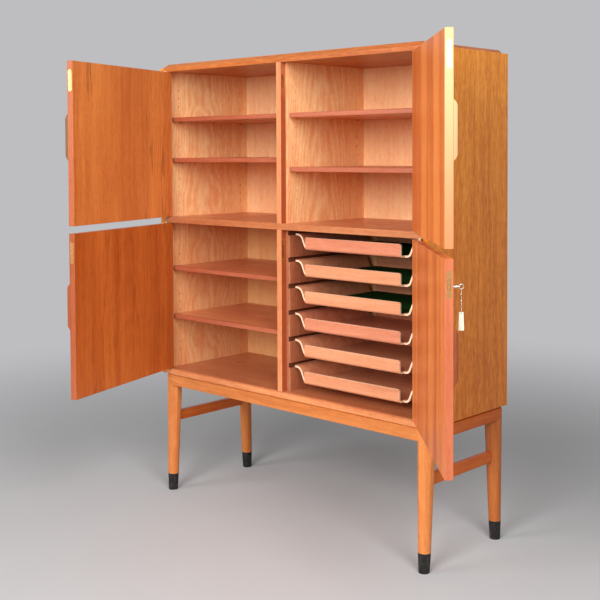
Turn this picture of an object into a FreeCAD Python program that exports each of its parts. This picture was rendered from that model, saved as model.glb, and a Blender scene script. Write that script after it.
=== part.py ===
import FreeCAD, Part
import math
import os

# Storage cabinet on a stand: four inset doors, three shelf compartments and one stack of trays.
# Frame: X to the right, Y from the front to the back, Z up.
# The origin is on the floor, at the centre of the carcass's footprint.
# Doors are shown open as in use, and everything else is at home.

# Carcass
carcass_width = 1130.0
carcass_depth = 390.0
stand_height = 403.0
side_thickness = 19.0
board_thickness = 19.0
top_thickness = 25.0
top_rise = 12.5
divider_thickness = 19.0
back_thickness = 7.0
back_rebate = 9.0
lower_clear_height = 497.5
upper_clear_height = 491.0
board_arris = 1.2
bottom_bevel = 4.0

# Doors
door_thickness = 20.0
door_gap = 1.5
door_arris = 1.0
pivot_setback = 8.5
left_door_opening = 72.5
right_door_opening = 135.0

# Knife hinges
leaf_thickness = 3.0
leaf_proud = 0.5
leaf_length = 46.0
leaf_width = 10.0
knuckle_radius = 6.0
hinge_pin_radius = 2.5
hinge_pin_end_gap = 0.3
running_clearance = 0.05

# Wall linings, tray guides and their holes and grooves
lining_thickness = 8.0
guide_thickness = 14.0
lining_setback = 2.5
lining_round = 5.0
wall_swing_clearance = 0.8
pin_radius = 2.5
pin_pitch = 27.5
pin_hole_depth = 6.0
pin_front_setback = 60.0
pin_back_setback = 43.0
upper_hole_row_margin = 45.0
lower_hole_row_margin = 55.0
pin_length = 14.0

# Shelves
shelf_thickness = 15.0
shelf_front_setback = 27.0
shelf_back_gap = 2.0
shelf_side_gap = 0.75
shelf_seat_gap = 0.2
shelf_corner_round = 6.0
shelf_nose_round = 3.0

# Each shelf's place, as pin holes counted up from the lowest
upper_high_row_count = 11
upper_left_low_row_count = 6
upper_right_low_row_count = 5
lower_high_row_count = 11
lower_low_row_count = 5

# Trays
tray_count = 6
top_lip_drop = 12.5
bottom_lip_rise = 78.0
tray_sheet = 5.5
tray_back_gap = 9.0
flap_advance = 19.0
flap_height = 38.5
flap_corner_round = 5.0
fold_radius = 9.0
tray_height = 47.0
lower_curve_radius = 15.0
upper_curve_radius = 23.0
curve_angle = 67.0
bottom_run = 7.0
lip_flat = 16.23
lip_corner_round = 15.0
groove_depth = 6.0
groove_side_gap = 0.7
groove_top_gap = 9.0
groove_seat_gap = 0.2
first_tray_gap = 1.5
tray_stagger = 1.3
lined_tray_count = 3
tray_lining_thickness = 1.0
tray_lining_margin = 2.0

# Pulls, edge plates, strikes and their screws
pull_length = 137.0
pull_flat_length = 96.0
pull_bow_share = 0.625
pull_projection = 12.0
pull_width = 18.0
pull_undercut = 4.0
pull_round = 7.0
upper_pull_drop = 225.0
lower_pull_drop = 218.0
plate_height = 64.0
plate_width = 12.0
plate_thickness = 2.5
upper_plate_drop = 26.0
lower_plate_drop = 25.0
upper_strike_height = 46.0
lower_strike_height = 66.0
strike_width = 12.0
strike_thickness = 1.5
strike_edge_margin = 4.0
screw_head_radius = 3.0
screw_shank_radius = 1.4
screw_length = 11.0
screw_end_margin = 8.0

# Lock, key, chain and tag
lock_case_depth = 42.0
lock_case_height = 52.0
lock_case_thickness = 11.0
bolt_height = 22.0
bolt_thickness = 6.0
bolt_length = 26.0
bolt_travel = 7.0
bolt_clearance = 0.4
strike_pocket_clearance = 1.0
key_backset = 30.0
key_rise = -8.0
key_shank_radius = 2.4
keyhole_clearance = 0.5
key_inside_length = 13.0
key_shank_length = 17.5
key_collar_radius = 3.8
key_collar_length = 2.2
bow_radius = 5.4
bow_wire_radius = 1.1
key_bit_length = 6.0
key_bit_height = 5.0
key_bit_thickness = 1.6
key_cavity_clearance = 0.6
ring_radius = 3.2
ring_wire_radius = 0.5
ring_seat_gap = 0.3
bead_radius = 1.2
bead_pitch = 2.9
bead_count = 15
bead_wire_radius = 0.45
tag_ring_radius = 2.4
tag_height = 42.0
tag_width = 13.0
tag_top_width = 10.0
tag_thickness = 1.6
tag_hole_radius = 1.5
tag_corner_round = 1.8

# Stand
stand_inset = 5.0
apron_height = 40.0
apron_thickness = 20.0
apron_lap = 12.0
apron_top_chamfer = 7.0
apron_lower_round = 3.0
leg_width = 50.0
leg_chamfer = 16.5
leg_seam_rise = 14.0
foot_radius = 15.5
ferrule_top_radius = 18.2
ferrule_height = 56.0
ferrule_wall = 1.6
ferrule_base = 3.0
ferrule_clearance = 0.3
foot_inset_x = 30.0
foot_inset_y = 19.0
stretcher_height = 33.0
stretcher_bottom = 236.0
stretcher_thickness = 17.0
stretcher_arris = 3.0

# Waste cut past a face, the reach within which a place counts as the same,
# and how far an arc's middle stands in from its corner as a share of the radius
overrun = 5.0
same_place = 0.05
arc_middle_share = 1 - math.sqrt(0.5)

# Places that follow from the sizes
half_width = carcass_width / 2
front = -carcass_depth / 2
back = carcass_depth / 2
panel_front = back - back_thickness
side_inner = half_width - side_thickness
divider_half = divider_thickness / 2
bottom_top = stand_height + board_thickness
middle_bottom = bottom_top + lower_clear_height
middle_top = middle_bottom + board_thickness
top_bottom = middle_top + upper_clear_height
top_top = top_bottom + top_thickness
side_top = top_top - top_rise
pivot_x = side_inner - door_gap - pivot_setback
swing_radius = math.hypot(pivot_setback, door_thickness)
lining_front = front + door_thickness + lining_setback
tray_left_tip = divider_half + guide_thickness - groove_depth
tray_right_tip = pivot_x - swing_radius - wall_swing_clearance
tray_centre = (tray_left_tip + tray_right_tip) / 2
right_guide_thickness = side_inner - (tray_right_tip - groove_depth)
curve_slope = math.radians(curve_angle)
curve_radii = lower_curve_radius + upper_curve_radius
slant_drop = tray_height - tray_sheet - curve_radii * (1 - math.cos(curve_slope))
slant_length = slant_drop / math.sin(curve_slope)
curves_run = curve_radii * math.sin(curve_slope) + slant_length * math.cos(curve_slope)
flap_width = 2 * (tray_right_tip - tray_centre - bottom_run - curves_run - lip_flat)
upper_door_bottom = middle_top + door_gap
upper_door_top = top_bottom - door_gap
lower_door_bottom = bottom_top + door_gap
lower_door_top = middle_bottom - door_gap
door_free_edge = divider_half + door_gap
apron_bottom = stand_height - apron_height
tray_pitch = (lower_clear_height - top_lip_drop - bottom_lip_rise) / (tray_count - 1)
lowest_tray_front = front + door_thickness + first_tray_gap
highest_tray_front = lowest_tray_front + tray_stagger * (tray_count - 1)
tray_length = panel_front - tray_back_gap - highest_tray_front

X_AXIS = FreeCAD.Vector(1, 0, 0)
Y_AXIS = FreeCAD.Vector(0, 1, 0)
Z_AXIS = FreeCAD.Vector(0, 0, 1)


def save(name, *shapes):
    solids = [solid for shape in shapes for solid in shape.Solids]
    whole = solids[0] if len(solids) == 1 else Part.makeCompound(solids)
    whole.exportStep("parts/" + name + ".step")


def vec(x, y, z):
    return FreeCAD.Vector(x, y, z)


def box(x0, x1, y0, y1, z0, z1):
    return Part.makeBox(x1 - x0, y1 - y0, z1 - z0, vec(x0, y0, z0))


def mirrored_x(shape):
    return shape.mirror(vec(0, 0, 0), X_AXIS)


def mirrored_y(shape):
    return shape.mirror(vec(0, 0, 0), Y_AXIS)


def face_of(edges):
    return Part.Face(Part.Wire(edges))


def polygon_face(points):
    return Part.Face(Part.makePolygon(points + [points[0]]))


def line(start, end):
    return Part.LineSegment(start, end).toShape()


def arc(start, middle, end):
    return Part.Arc(start, middle, end).toShape()


def edges_along(shape, axis, test):
    """Straight edges that run along an axis and whose middle passes a test."""
    found = []
    for edge in shape.Edges:
        run = edge.Vertexes[-1].Point - edge.Vertexes[0].Point
        if run.Length and abs(abs(run.normalize().dot(axis)) - 1) < 1e-6:
            middle = edge.BoundBox.Center
            if test(middle):
                found.append(edge)
    return found


def near(value, target):
    return abs(value - target) < same_place


def eased(shape, size):
    """A board with a small chamfer on every edge."""
    return shape.makeChamfer(size, shape.Edges)


def ring(centre, axis, radius, wire_radius):
    return Part.makeTorus(radius, wire_radius, centre, axis)


def screw(tip_out, direction):
    """A countersunk screw whose head is flush at tip_out and whose shank runs along direction."""
    cone_length = screw_head_radius - screw_shank_radius
    cone = Part.makeCone(screw_head_radius, screw_shank_radius, cone_length, tip_out, direction)
    return cone.fuse(Part.makeCylinder(screw_shank_radius, screw_length, tip_out, direction))


def let_in(wood, *pieces):
    """Cut pockets in a board for the pieces that it holds."""
    for piece in pieces:
        wood = wood.cut(piece)
    return wood


def opened(shape, side, angle):
    """Turn a door's piece from closed to its open place; side is -1 for left and 1 for right."""
    turned = shape.copy()
    turned.rotate(vec(side * pivot_x, front, 0), Z_AXIS, side * angle)
    return turned


# Stand


def leg_centre(z):
    """The leg's centre, measured inwards from the carcass's outer corner, at a height."""
    share = (apron_bottom - z) / apron_bottom
    top_centre = stand_inset + leg_width / 2
    x = top_centre + (foot_inset_x - top_centre) * share
    y = top_centre + (foot_inset_y - top_centre) * share
    return half_width - x, front + y


def octagon(z):
    cx, cy = leg_centre(z)
    half = leg_width / 2
    flat = half - leg_chamfer
    corners = []
    for turn in range(4):
        for x, y in ((half, -flat), (half, flat)):
            for _ in range(turn):
                x, y = -y, x
            corners.append(vec(cx + x, cy + y, z))
    return corners


def octagon_wire(z):
    corners = octagon(z)
    return Part.Wire([line(corners[i], corners[(i + 1) % 8]) for i in range(8)])


def round_wire(z, radius):
    """A circle cut into eight arcs, so that it lofts from the octagon."""
    cx, cy = leg_centre(z)
    around = []
    for i in range(16):
        angle = math.radians(22.5 * (i - 1))
        around.append(vec(cx + radius * math.cos(angle), cy + radius * math.sin(angle), z))
    arcs = [arc(around[2 * i], around[2 * i + 1], around[(2 * i + 2) % 16]) for i in range(8)]
    return Part.Wire(arcs)


def apron_outline(z_top):
    """The apron's long end beside a leg: upright seam, then a slant out to the leg's face."""
    corner = half_width - stand_inset
    return [
        (corner - leg_chamfer, z_top),
        (corner - leg_chamfer, apron_bottom + leg_seam_rise),
        (corner - leg_width + leg_chamfer, apron_bottom),
    ]


def stand_envelope():
    """The stand's outer form at the aprons, with its corners and its top edge cut back."""
    x = half_width - stand_inset
    y = back - stand_inset
    block = box(-x, x, -y, y, apron_bottom, stand_height)
    block = block.makeChamfer(leg_chamfer, edges_along(block, Z_AXIS, lambda m: True))
    top = [e for e in block.Edges if near(e.BoundBox.ZMin, stand_height)]
    return block.makeChamfer(apron_top_chamfer, top)


def front_apron_solid(envelope):
    seam = apron_outline(stand_height)
    outline = [vec(x, -back, z) for x, z in seam]
    outline += [vec(-x, -back, z) for x, z in reversed(seam)]
    lap = polygon_face(outline).extrude(vec(0, stand_inset + apron_lap, 0))
    inner = half_width - stand_inset - leg_width
    face = front + stand_inset
    beam = box(-inner, inner, face, face + apron_thickness, apron_bottom, stand_height)
    apron = lap.fuse(beam).removeSplitter().common(envelope)
    lower = edges_along(apron, X_AXIS, lambda m: near(m.z, apron_bottom) and near(m.y, face))
    return apron.makeFillet(apron_lower_round, lower)


def right_apron_solid(envelope):
    depth_half = back - stand_inset
    shift = half_width - back
    seam = [(x - shift, z) for x, z in apron_outline(stand_height)]
    outline = [vec(half_width, y, z) for y, z in seam]
    outline += [vec(half_width, -y, z) for y, z in reversed(seam)]
    lap = polygon_face(outline).extrude(vec(-stand_inset - apron_lap, 0, 0))
    inner = depth_half - leg_width
    face = half_width - stand_inset
    beam = box(face - apron_thickness, face, -inner, inner, apron_bottom, stand_height)
    apron = lap.fuse(beam).removeSplitter().common(envelope)
    lower = edges_along(apron, Y_AXIS, lambda m: near(m.z, apron_bottom) and near(m.x, face))
    return apron.makeFillet(apron_lower_round, lower)


def front_right_leg(envelope, aprons):
    top_face = Part.Face(octagon_wire(apron_bottom))
    head = top_face.extrude(vec(0, 0, apron_height)).common(envelope)
    for apron in aprons:
        head = head.cut(apron)
    ankle = round_wire(ferrule_height, ferrule_top_radius)
    shaft = Part.makeLoft([ankle, octagon_wire(apron_bottom)], True, True)
    inset = ferrule_wall + ferrule_clearance
    spigot_low = round_wire(ferrule_base, foot_radius - inset)
    spigot_high = round_wire(ferrule_height, ferrule_top_radius - inset)
    spigot = Part.makeLoft([spigot_low, spigot_high], True, True)
    return head.fuse([shaft, spigot]).removeSplitter()


def front_right_ferrule():
    rim = round_wire(ferrule_height, ferrule_top_radius)
    outside = Part.makeLoft([round_wire(0, foot_radius), rim], True, True)
    inside_low = round_wire(ferrule_base, foot_radius - ferrule_wall)
    inside_high = round_wire(ferrule_height, ferrule_top_radius - ferrule_wall)
    return outside.cut(Part.makeLoft([inside_low, inside_high], True, True))


def right_stretcher_solid(legs):
    cx, front_y = leg_centre(stretcher_bottom)
    bar = box(
        cx - stretcher_thickness / 2,
        cx + stretcher_thickness / 2,
        front_y,
        -front_y,
        stretcher_bottom,
        stretcher_bottom + stretcher_height,
    )
    bar = bar.makeChamfer(stretcher_arris, edges_along(bar, Y_AXIS, lambda m: m.x > cx))
    for leg in legs:
        bar = bar.cut(leg)
    return max(bar.Solids, key=lambda solid: solid.Volume)


def make_stand():
    envelope = stand_envelope()
    front_apron = front_apron_solid(envelope)
    right_apron = right_apron_solid(envelope)
    leg = front_right_leg(envelope, [front_apron, right_apron])
    back_leg = mirrored_y(leg)
    ferrule = front_right_ferrule()
    stretcher = right_stretcher_solid([leg, back_leg])
    save("front_apron", front_apron)
    save("back_apron", mirrored_y(front_apron))
    save("right_apron", right_apron)
    save("left_apron", mirrored_x(right_apron))
    save("leg_front_right", leg)
    save("leg_back_right", back_leg)
    save("leg_front_left", mirrored_x(leg))
    save("leg_back_left", mirrored_x(back_leg))
    right_pair = [ferrule, mirrored_y(ferrule)]
    save("leg_ferrules", *right_pair, *[mirrored_x(piece) for piece in right_pair])
    save("right_stretcher", stretcher)
    save("left_stretcher", mirrored_x(stretcher))


# Hinges


def leaf_outline(z):
    """One right-hand knife leaf: a knuckle at the front plane and a bar behind it, thick upwards."""
    knuckle = Part.makeCylinder(knuckle_radius, leaf_thickness, vec(pivot_x, front, z))
    bar_back = front + door_thickness / 2 + leaf_width / 2
    z_top = z + leaf_thickness
    neck = box(pivot_x - knuckle_radius, pivot_x + knuckle_radius, front, bar_back, z, z_top)
    bar_end = pivot_x + knuckle_radius - leaf_length
    bar = box(bar_end, pivot_x, bar_back - leaf_width, bar_back, z, z_top)
    return knuckle.fuse([neck, bar]).removeSplitter()


def hinge_set(board_face, up):
    """The carcass leaf with its pin and the door leaf, at a board's face; up is 1 for a door above it."""
    carcass_low = board_face - leaf_thickness + leaf_proud if up > 0 else board_face - leaf_proud
    door_end = board_face + up * door_gap
    door_low = door_end - leaf_proud if up > 0 else door_end + leaf_proud - leaf_thickness
    pin_start = carcass_low if up > 0 else carcass_low + leaf_thickness
    pin_reach = 2 * leaf_thickness + door_gap - 2 * leaf_proud - hinge_pin_end_gap
    pin = Part.makeCylinder(hinge_pin_radius, pin_reach, vec(pivot_x, front, pin_start), Z_AXIS * up)
    bore_radius = hinge_pin_radius + running_clearance
    bore = Part.makeCylinder(bore_radius, leaf_thickness, vec(pivot_x, front, door_low))
    carcass_pocket = leaf_outline(carcass_low)
    door_pocket = leaf_outline(door_low)
    carcass_leaf = carcass_pocket.fuse(pin).removeSplitter()
    return carcass_leaf, door_pocket.cut(bore), carcass_pocket, door_pocket


# Plates and strikes


def plate_with_screws(x, y, z, height, width, thickness, away):
    """A round-ended plate whose show face is at x, centred at y and z, and its two screws.

    The plate is let in towards away, which is -1 or 1 along X.
    """
    radius = width / 2
    straight = height / 2 - radius
    right = [vec(x, y + radius, z - straight), vec(x, y + radius, z + straight)]
    left = [vec(x, y - radius, z + straight), vec(x, y - radius, z - straight)]
    outline = [
        line(right[0], right[1]),
        arc(right[1], vec(x, y, z + height / 2), left[0]),
        line(left[0], left[1]),
        arc(left[1], vec(x, y, z - height / 2), right[0]),
    ]
    plate = face_of(outline).extrude(vec(away * thickness, 0, 0))
    offset = height / 2 - screw_end_margin
    screws = [screw(vec(x, y, z + s * offset), X_AXIS * away) for s in (-1, 1)]
    for piece in screws:
        plate = plate.cut(piece)
    return plate, screws


def strike_set(z, height, side):
    """A strike on the divider's face; side is -1 for the left face and 1 for the right."""
    y = front + strike_edge_margin + strike_width / 2
    x = side * divider_half
    return plate_with_screws(x, y, z, height, strike_width, strike_thickness, -side)


# Carcass


def make_carcass():
    sides_body = box(side_inner, half_width, front, back, stand_height, side_top)
    panel_half = side_inner + back_rebate
    rebate = box(
        side_inner - overrun,
        panel_half,
        panel_front,
        back + overrun,
        stand_height - overrun,
        top_bottom,
    )
    right_side = eased(sides_body, board_arris).cut(rebate)
    save("right_side", right_side)
    save("left_side", mirrored_x(right_side))
    save("back_panel", box(-panel_half, panel_half, panel_front, back, stand_height, top_bottom))

    leaves = {}
    for board_face, up in ((bottom_top, 1), (middle_bottom, -1), (middle_top, 1), (top_bottom, -1)):
        leaves[board_face] = hinge_set(board_face, up)
    carcass_leaves = []
    for carcass_leaf, _, _, _ in leaves.values():
        carcass_leaves += [carcass_leaf, mirrored_x(carcass_leaf)]
    save("carcass_hinge_leaves", *carcass_leaves)

    def with_leaves(board, *faces):
        for board_face in faces:
            pocket = leaves[board_face][2]
            board = let_in(board, pocket, mirrored_x(pocket))
        return board

    top = box(-side_inner, side_inner, front, back, top_bottom, top_top)
    upper_edges = [e for e in top.Edges if near(e.BoundBox.ZMin, top_top)]
    top = top.makeChamfer(top_rise, [e for e in upper_edges if e.BoundBox.YMin < panel_front])
    save("top_board", with_leaves(top, top_bottom))

    bottom = box(-side_inner, side_inner, front, panel_front, stand_height, bottom_top)
    nose = edges_along(bottom, X_AXIS, lambda m: near(m.z, bottom_top) and near(m.y, front))
    save("bottom_board", with_leaves(bottom.makeChamfer(bottom_bevel, nose), bottom_top))

    middle = box(-side_inner, side_inner, front, panel_front, middle_bottom, middle_top)
    nose = edges_along(middle, X_AXIS, lambda m: near(m.y, front))
    save("middle_board", with_leaves(middle.makeChamfer(board_arris, nose), middle_bottom, middle_top))

    make_dividers()


def bolt_pocket(z):
    """The hole for the bolt in the divider's right face and its strike."""
    centre_y = front + door_thickness / 2
    half_y = bolt_thickness / 2 + strike_pocket_clearance
    half_z = bolt_height / 2 + strike_pocket_clearance
    deep = divider_half + door_gap - bolt_travel - strike_pocket_clearance
    mouth = divider_half + overrun
    return box(deep, mouth, centre_y - half_y, centre_y + half_y, z - half_z, z + half_z)


def make_dividers():
    strikes = []
    upper = box(-divider_half, divider_half, front, panel_front, middle_top, top_bottom)
    lower = box(-divider_half, divider_half, front, panel_front, bottom_top, middle_bottom)
    upper = upper.makeChamfer(board_arris, edges_along(upper, Z_AXIS, lambda m: near(m.y, front)))
    lower = lower.makeChamfer(board_arris, edges_along(lower, Z_AXIS, lambda m: near(m.y, front)))
    for side in (-1, 1):
        plate, screws = strike_set(upper_plate_z(), upper_strike_height, side)
        upper = let_in(upper, plate, *screws)
        strikes += [plate, *screws]
        plate, screws = strike_set(lower_plate_z(), lower_strike_height, side)
        lower = let_in(lower, plate, *screws)
        if side > 0:
            plate = plate.cut(bolt_pocket(lower_plate_z()))
        strikes += [plate, *screws]
    save("upper_divider", upper)
    save("lower_divider", lower.cut(bolt_pocket(lower_plate_z())))
    save("strike_plates", *strikes)


def upper_plate_z():
    return upper_door_top - upper_plate_drop - plate_height / 2


def lower_plate_z():
    return lower_door_top - lower_plate_drop - plate_height / 2


# Linings, guides, shelves and pins


def pin_rows(floor, height, margin):
    """Heights of the pin holes in a compartment, from the lowest."""
    count = int((height - 2 * margin) / pin_pitch) + 1
    return [floor + margin + pin_pitch * i for i in range(count)]


def pin_columns():
    return front + pin_front_setback, back - pin_back_setback


def lining(x_wall, inward, floor, height, rows):
    """A wall lining whose back is at x_wall and whose face looks along inward."""
    x_face = x_wall + inward * lining_thickness
    x0 = min(x_wall, x_face)
    x1 = max(x_wall, x_face)
    solid = box(x0, x1, lining_front, panel_front, floor, floor + height)
    nose = edges_along(solid, Z_AXIS, lambda m: near(m.x, x_face) and near(m.y, lining_front))
    solid = solid.makeFillet(lining_round, nose)
    holes = []
    depth = pin_hole_depth + overrun
    for z in rows:
        for y in pin_columns():
            start = vec(x_face + inward * overrun, y, z)
            hole = Part.makeCylinder(pin_radius + running_clearance, depth, start, X_AXIS * -inward)
            holes.append(hole)
    return solid.cut(Part.makeCompound(holes))


def shelf_and_pins(x_left, x_right, pin_z):
    """One shelf between two lining faces, and the four pins that it lies on."""
    bottom = pin_z + pin_radius + shelf_seat_gap
    shelf_front = front + shelf_front_setback
    shelf = box(
        x_left + shelf_side_gap,
        x_right - shelf_side_gap,
        shelf_front,
        panel_front - shelf_back_gap,
        bottom,
        bottom + shelf_thickness,
    )
    corners = edges_along(shelf, Z_AXIS, lambda m: near(m.y, shelf_front))
    shelf = shelf.makeFillet(shelf_corner_round, corners)
    level = [e for e in shelf.Edges if near(e.BoundBox.ZMin, e.BoundBox.ZMax)]
    at_front = [e for e in level if near(e.BoundBox.YMin, shelf_front)]
    nose = [e for e in at_front if e.BoundBox.YMax < panel_front - overrun]
    shelf = shelf.makeFillet(shelf_nose_round, nose)
    pins = []
    for y in pin_columns():
        for x, inward in ((x_left, 1), (x_right, -1)):
            start = vec(x - inward * (pin_hole_depth - shelf_seat_gap), y, pin_z)
            pins.append(Part.makeCylinder(pin_radius, pin_length, start, X_AXIS * inward))
    return shelf, pins


def make_shelving():
    left_face = -side_inner + lining_thickness
    centre_face = divider_half + lining_thickness
    upper_rows = pin_rows(middle_top, upper_clear_height, upper_hole_row_margin)
    lower_rows = pin_rows(bottom_top, lower_clear_height, lower_hole_row_margin)
    upper = (middle_top, upper_clear_height, upper_rows)
    lower = (bottom_top, lower_clear_height, lower_rows)
    upper_left = (upper_high_row_count, upper_left_low_row_count)
    upper_right = (upper_high_row_count, upper_right_low_row_count)
    lower_left = (lower_high_row_count, lower_low_row_count)
    spaces = [
        ("upper_left_shelf", left_face, -centre_face, upper, upper_left),
        ("upper_right_shelf", centre_face, -left_face, upper, upper_right),
        ("lower_left_shelf", left_face, -centre_face, lower, lower_left),
    ]
    linings = []
    all_pins = []
    for name, x_left, x_right, (floor, height, rows), shelf_rows in spaces:
        linings.append(lining(x_left - lining_thickness, 1, floor, height, rows))
        linings.append(lining(x_right + lining_thickness, -1, floor, height, rows))
        for label, row in zip(("high", "low"), shelf_rows):
            shelf, pins = shelf_and_pins(x_left, x_right, rows[row - 1])
            save(name + "_" + label, shelf)
            all_pins += pins
    save("wall_linings", *linings)
    save("shelf_pins", *all_pins)


# Trays


def lip_top(index):
    return middle_bottom - top_lip_drop - tray_pitch * index


def tray_front(index):
    """Where a tray's flap stands: the low trays are a little further out than the high ones."""
    return highest_tray_front - tray_stagger * index


def tray_path(z_lip):
    """Centre line of the sheet's right half, from the middle out: points with the slope at each."""
    angle = curve_slope
    z_low = z_lip - tray_height + tray_sheet / 2
    z_high = z_lip - tray_sheet / 2
    start = flap_width / 2 + bottom_run
    knots = [(0.0, z_low, 0.0), (start, z_low, 0.0)]
    x = start + lower_curve_radius * math.sin(angle)
    z = z_low + lower_curve_radius * (1 - math.cos(angle))
    middle = (
        start + lower_curve_radius * math.sin(angle / 2),
        z_low + lower_curve_radius * (1 - math.cos(angle / 2)),
        angle / 2,
    )
    knots += [middle, (x, z, angle)]
    x += slant_length * math.cos(angle)
    z += slant_length * math.sin(angle)
    knots.append((x, z, angle))
    end_x = x + upper_curve_radius * math.sin(angle)
    knots.append(
        (
            end_x - upper_curve_radius * math.sin(angle / 2),
            z_high - upper_curve_radius * (1 - math.cos(angle / 2)),
            angle / 2,
        )
    )
    knots.append((end_x, z_high, 0.0))
    knots.append((tray_right_tip - tray_centre, z_high, 0.0))
    return knots


def tray_section(z_lip, y, upper, lower):
    """The sheet's section between two offsets from its centre line, as a face across the tray."""
    rows = []
    for offset in (upper, lower):
        row = []
        for x, z, angle in tray_path(z_lip):
            row.append((x - offset * math.sin(angle), z + offset * math.cos(angle)))
        rows.append(row)

    def at(side, point):
        return vec(tray_centre + side * point[0], y, point[1])

    def half(row, side):
        p = [at(side, point) for point in row]
        low_curve = [line(p[0], p[1]), arc(p[1], p[2], p[3])]
        high_curve = [line(p[3], p[4]), arc(p[4], p[5], p[6])]
        return low_curve + high_curve + [line(p[6], p[7])]

    edges = []
    for row in rows:
        for side in (-1, 1):
            edges += half(row, side)
    for side in (-1, 1):
        edges.append(line(at(side, rows[0][-1]), at(side, rows[1][-1])))
    return face_of(Part.__sortEdges__(edges))


def flap(y_show, inward, z_lip, y_stop):
    """The sheet's bottom run out past the sides and folded up, as one band across the tray."""
    z0 = z_lip - tray_height
    z1 = z0 + flap_height
    y_in = y_show + inward * tray_sheet
    outer = fold_radius
    inner = fold_radius - tray_sheet
    outer_middle = outer * arc_middle_share
    inner_middle = tray_sheet + inner * arc_middle_share
    x = tray_centre - flap_width / 2

    def at(y_offset, z_offset):
        return vec(x, y_show + inward * y_offset, z0 + z_offset)

    stop = abs(y_stop - y_show)
    edges = [
        line(vec(x, y_show, z1), at(0, outer)),
        arc(at(0, outer), at(outer_middle, outer_middle), at(outer, 0)),
        line(at(outer, 0), at(stop, 0)),
        line(at(stop, 0), at(stop, tray_sheet)),
        line(at(stop, tray_sheet), at(outer, tray_sheet)),
        arc(at(outer, tray_sheet), at(inner_middle, inner_middle), at(tray_sheet, outer)),
        line(at(tray_sheet, outer), vec(x, y_in, z1)),
        line(vec(x, y_in, z1), vec(x, y_show, z1)),
    ]
    band = face_of(edges).extrude(vec(flap_width, 0, 0))
    corners = edges_along(band, Y_AXIS, lambda m: near(m.z, z1))
    return band.makeFillet(flap_corner_round, corners)


def lip_corner_cutter(x_tip, inward_x, y_end, inward_y, z_lip):
    """The waste outside a rounded corner of a lip, seen from above."""
    r = lip_corner_round
    z = z_lip - tray_height - overrun
    inset = r * arc_middle_share
    corner = vec(x_tip, y_end, z)
    on_side = vec(x_tip, y_end + inward_y * r, z)
    on_end = vec(x_tip + inward_x * r, y_end, z)
    middle = vec(x_tip + inward_x * inset, y_end + inward_y * inset, z)
    waste = face_of([line(corner, on_side), arc(on_side, middle, on_end), line(on_end, corner)])
    return waste.extrude(vec(0, 0, tray_height + 2 * overrun))


def tray_solid(index):
    z_lip = lip_top(index)
    y_show = tray_front(index)
    y_lip = y_show + flap_advance
    y_back = y_show + tray_length
    y_lip_back = y_back - flap_advance
    half_sheet = tray_sheet / 2
    sheet = tray_section(z_lip, y_lip, half_sheet, -half_sheet).extrude(vec(0, y_lip_back - y_lip, 0))
    for x_tip, inward_x in ((tray_left_tip, 1), (tray_right_tip, -1)):
        sheet = sheet.cut(lip_corner_cutter(x_tip, inward_x, y_lip, 1, z_lip))
        sheet = sheet.cut(lip_corner_cutter(x_tip, inward_x, y_lip_back, -1, z_lip))
    middle = (y_lip + y_lip_back) / 2
    front_flap = flap(y_show, 1, z_lip, middle)
    back_flap = flap(y_back, -1, z_lip, middle)
    return sheet.fuse([front_flap, back_flap]).removeSplitter()


def tray_lining_solid(index):
    """A cloth lining laid in the tray's bottom."""
    z_low = lip_top(index) - tray_height + tray_sheet
    y_show = tray_front(index)
    half = flap_width / 2 - tray_lining_margin
    y0 = y_show + fold_radius + tray_lining_margin
    y1 = y_show + tray_length - fold_radius - tray_lining_margin
    return box(tray_centre - half, tray_centre + half, y0, y1, z_low, z_low + tray_lining_thickness)


def grooves(x_face, outward):
    """Six grooves in a guide's face, for the trays' lips."""
    waste = []
    deep = x_face + outward * (groove_depth + groove_side_gap)
    mouth = x_face - outward * overrun
    x0 = min(deep, mouth)
    x1 = max(deep, mouth)
    for index in range(tray_count):
        top = lip_top(index) + groove_top_gap
        low = lip_top(index) - tray_sheet - groove_seat_gap
        waste.append(box(x0, x1, lining_front - overrun, panel_front + overrun, low, top))
    return Part.makeCompound(waste)


def guide(x_wall, x_face):
    x0 = min(x_wall, x_face)
    x1 = max(x_wall, x_face)
    solid = box(x0, x1, lining_front, panel_front, bottom_top, middle_bottom)
    nose = edges_along(solid, Z_AXIS, lambda m: near(m.x, x_face) and near(m.y, lining_front))
    outward = -1 if x_wall < x_face else 1
    return solid.makeFillet(lining_round, nose).cut(grooves(x_face, outward))


def make_trays():
    for index in range(tray_count):
        save("tray_" + str(index + 1), tray_solid(index))
        if index < lined_tray_count:
            save("tray_lining_" + str(index + 1), tray_lining_solid(index))
    left = guide(divider_half, divider_half + guide_thickness)
    right = guide(side_inner, side_inner - right_guide_thickness)
    save("tray_guides", left, right)


# Doors


def door_slab(z0, z1):
    """A right-hand door, closed."""
    slab = box(door_free_edge, pivot_x + pivot_setback, front, front + door_thickness, z0, z1)
    return eased(slab, door_arris)


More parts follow.
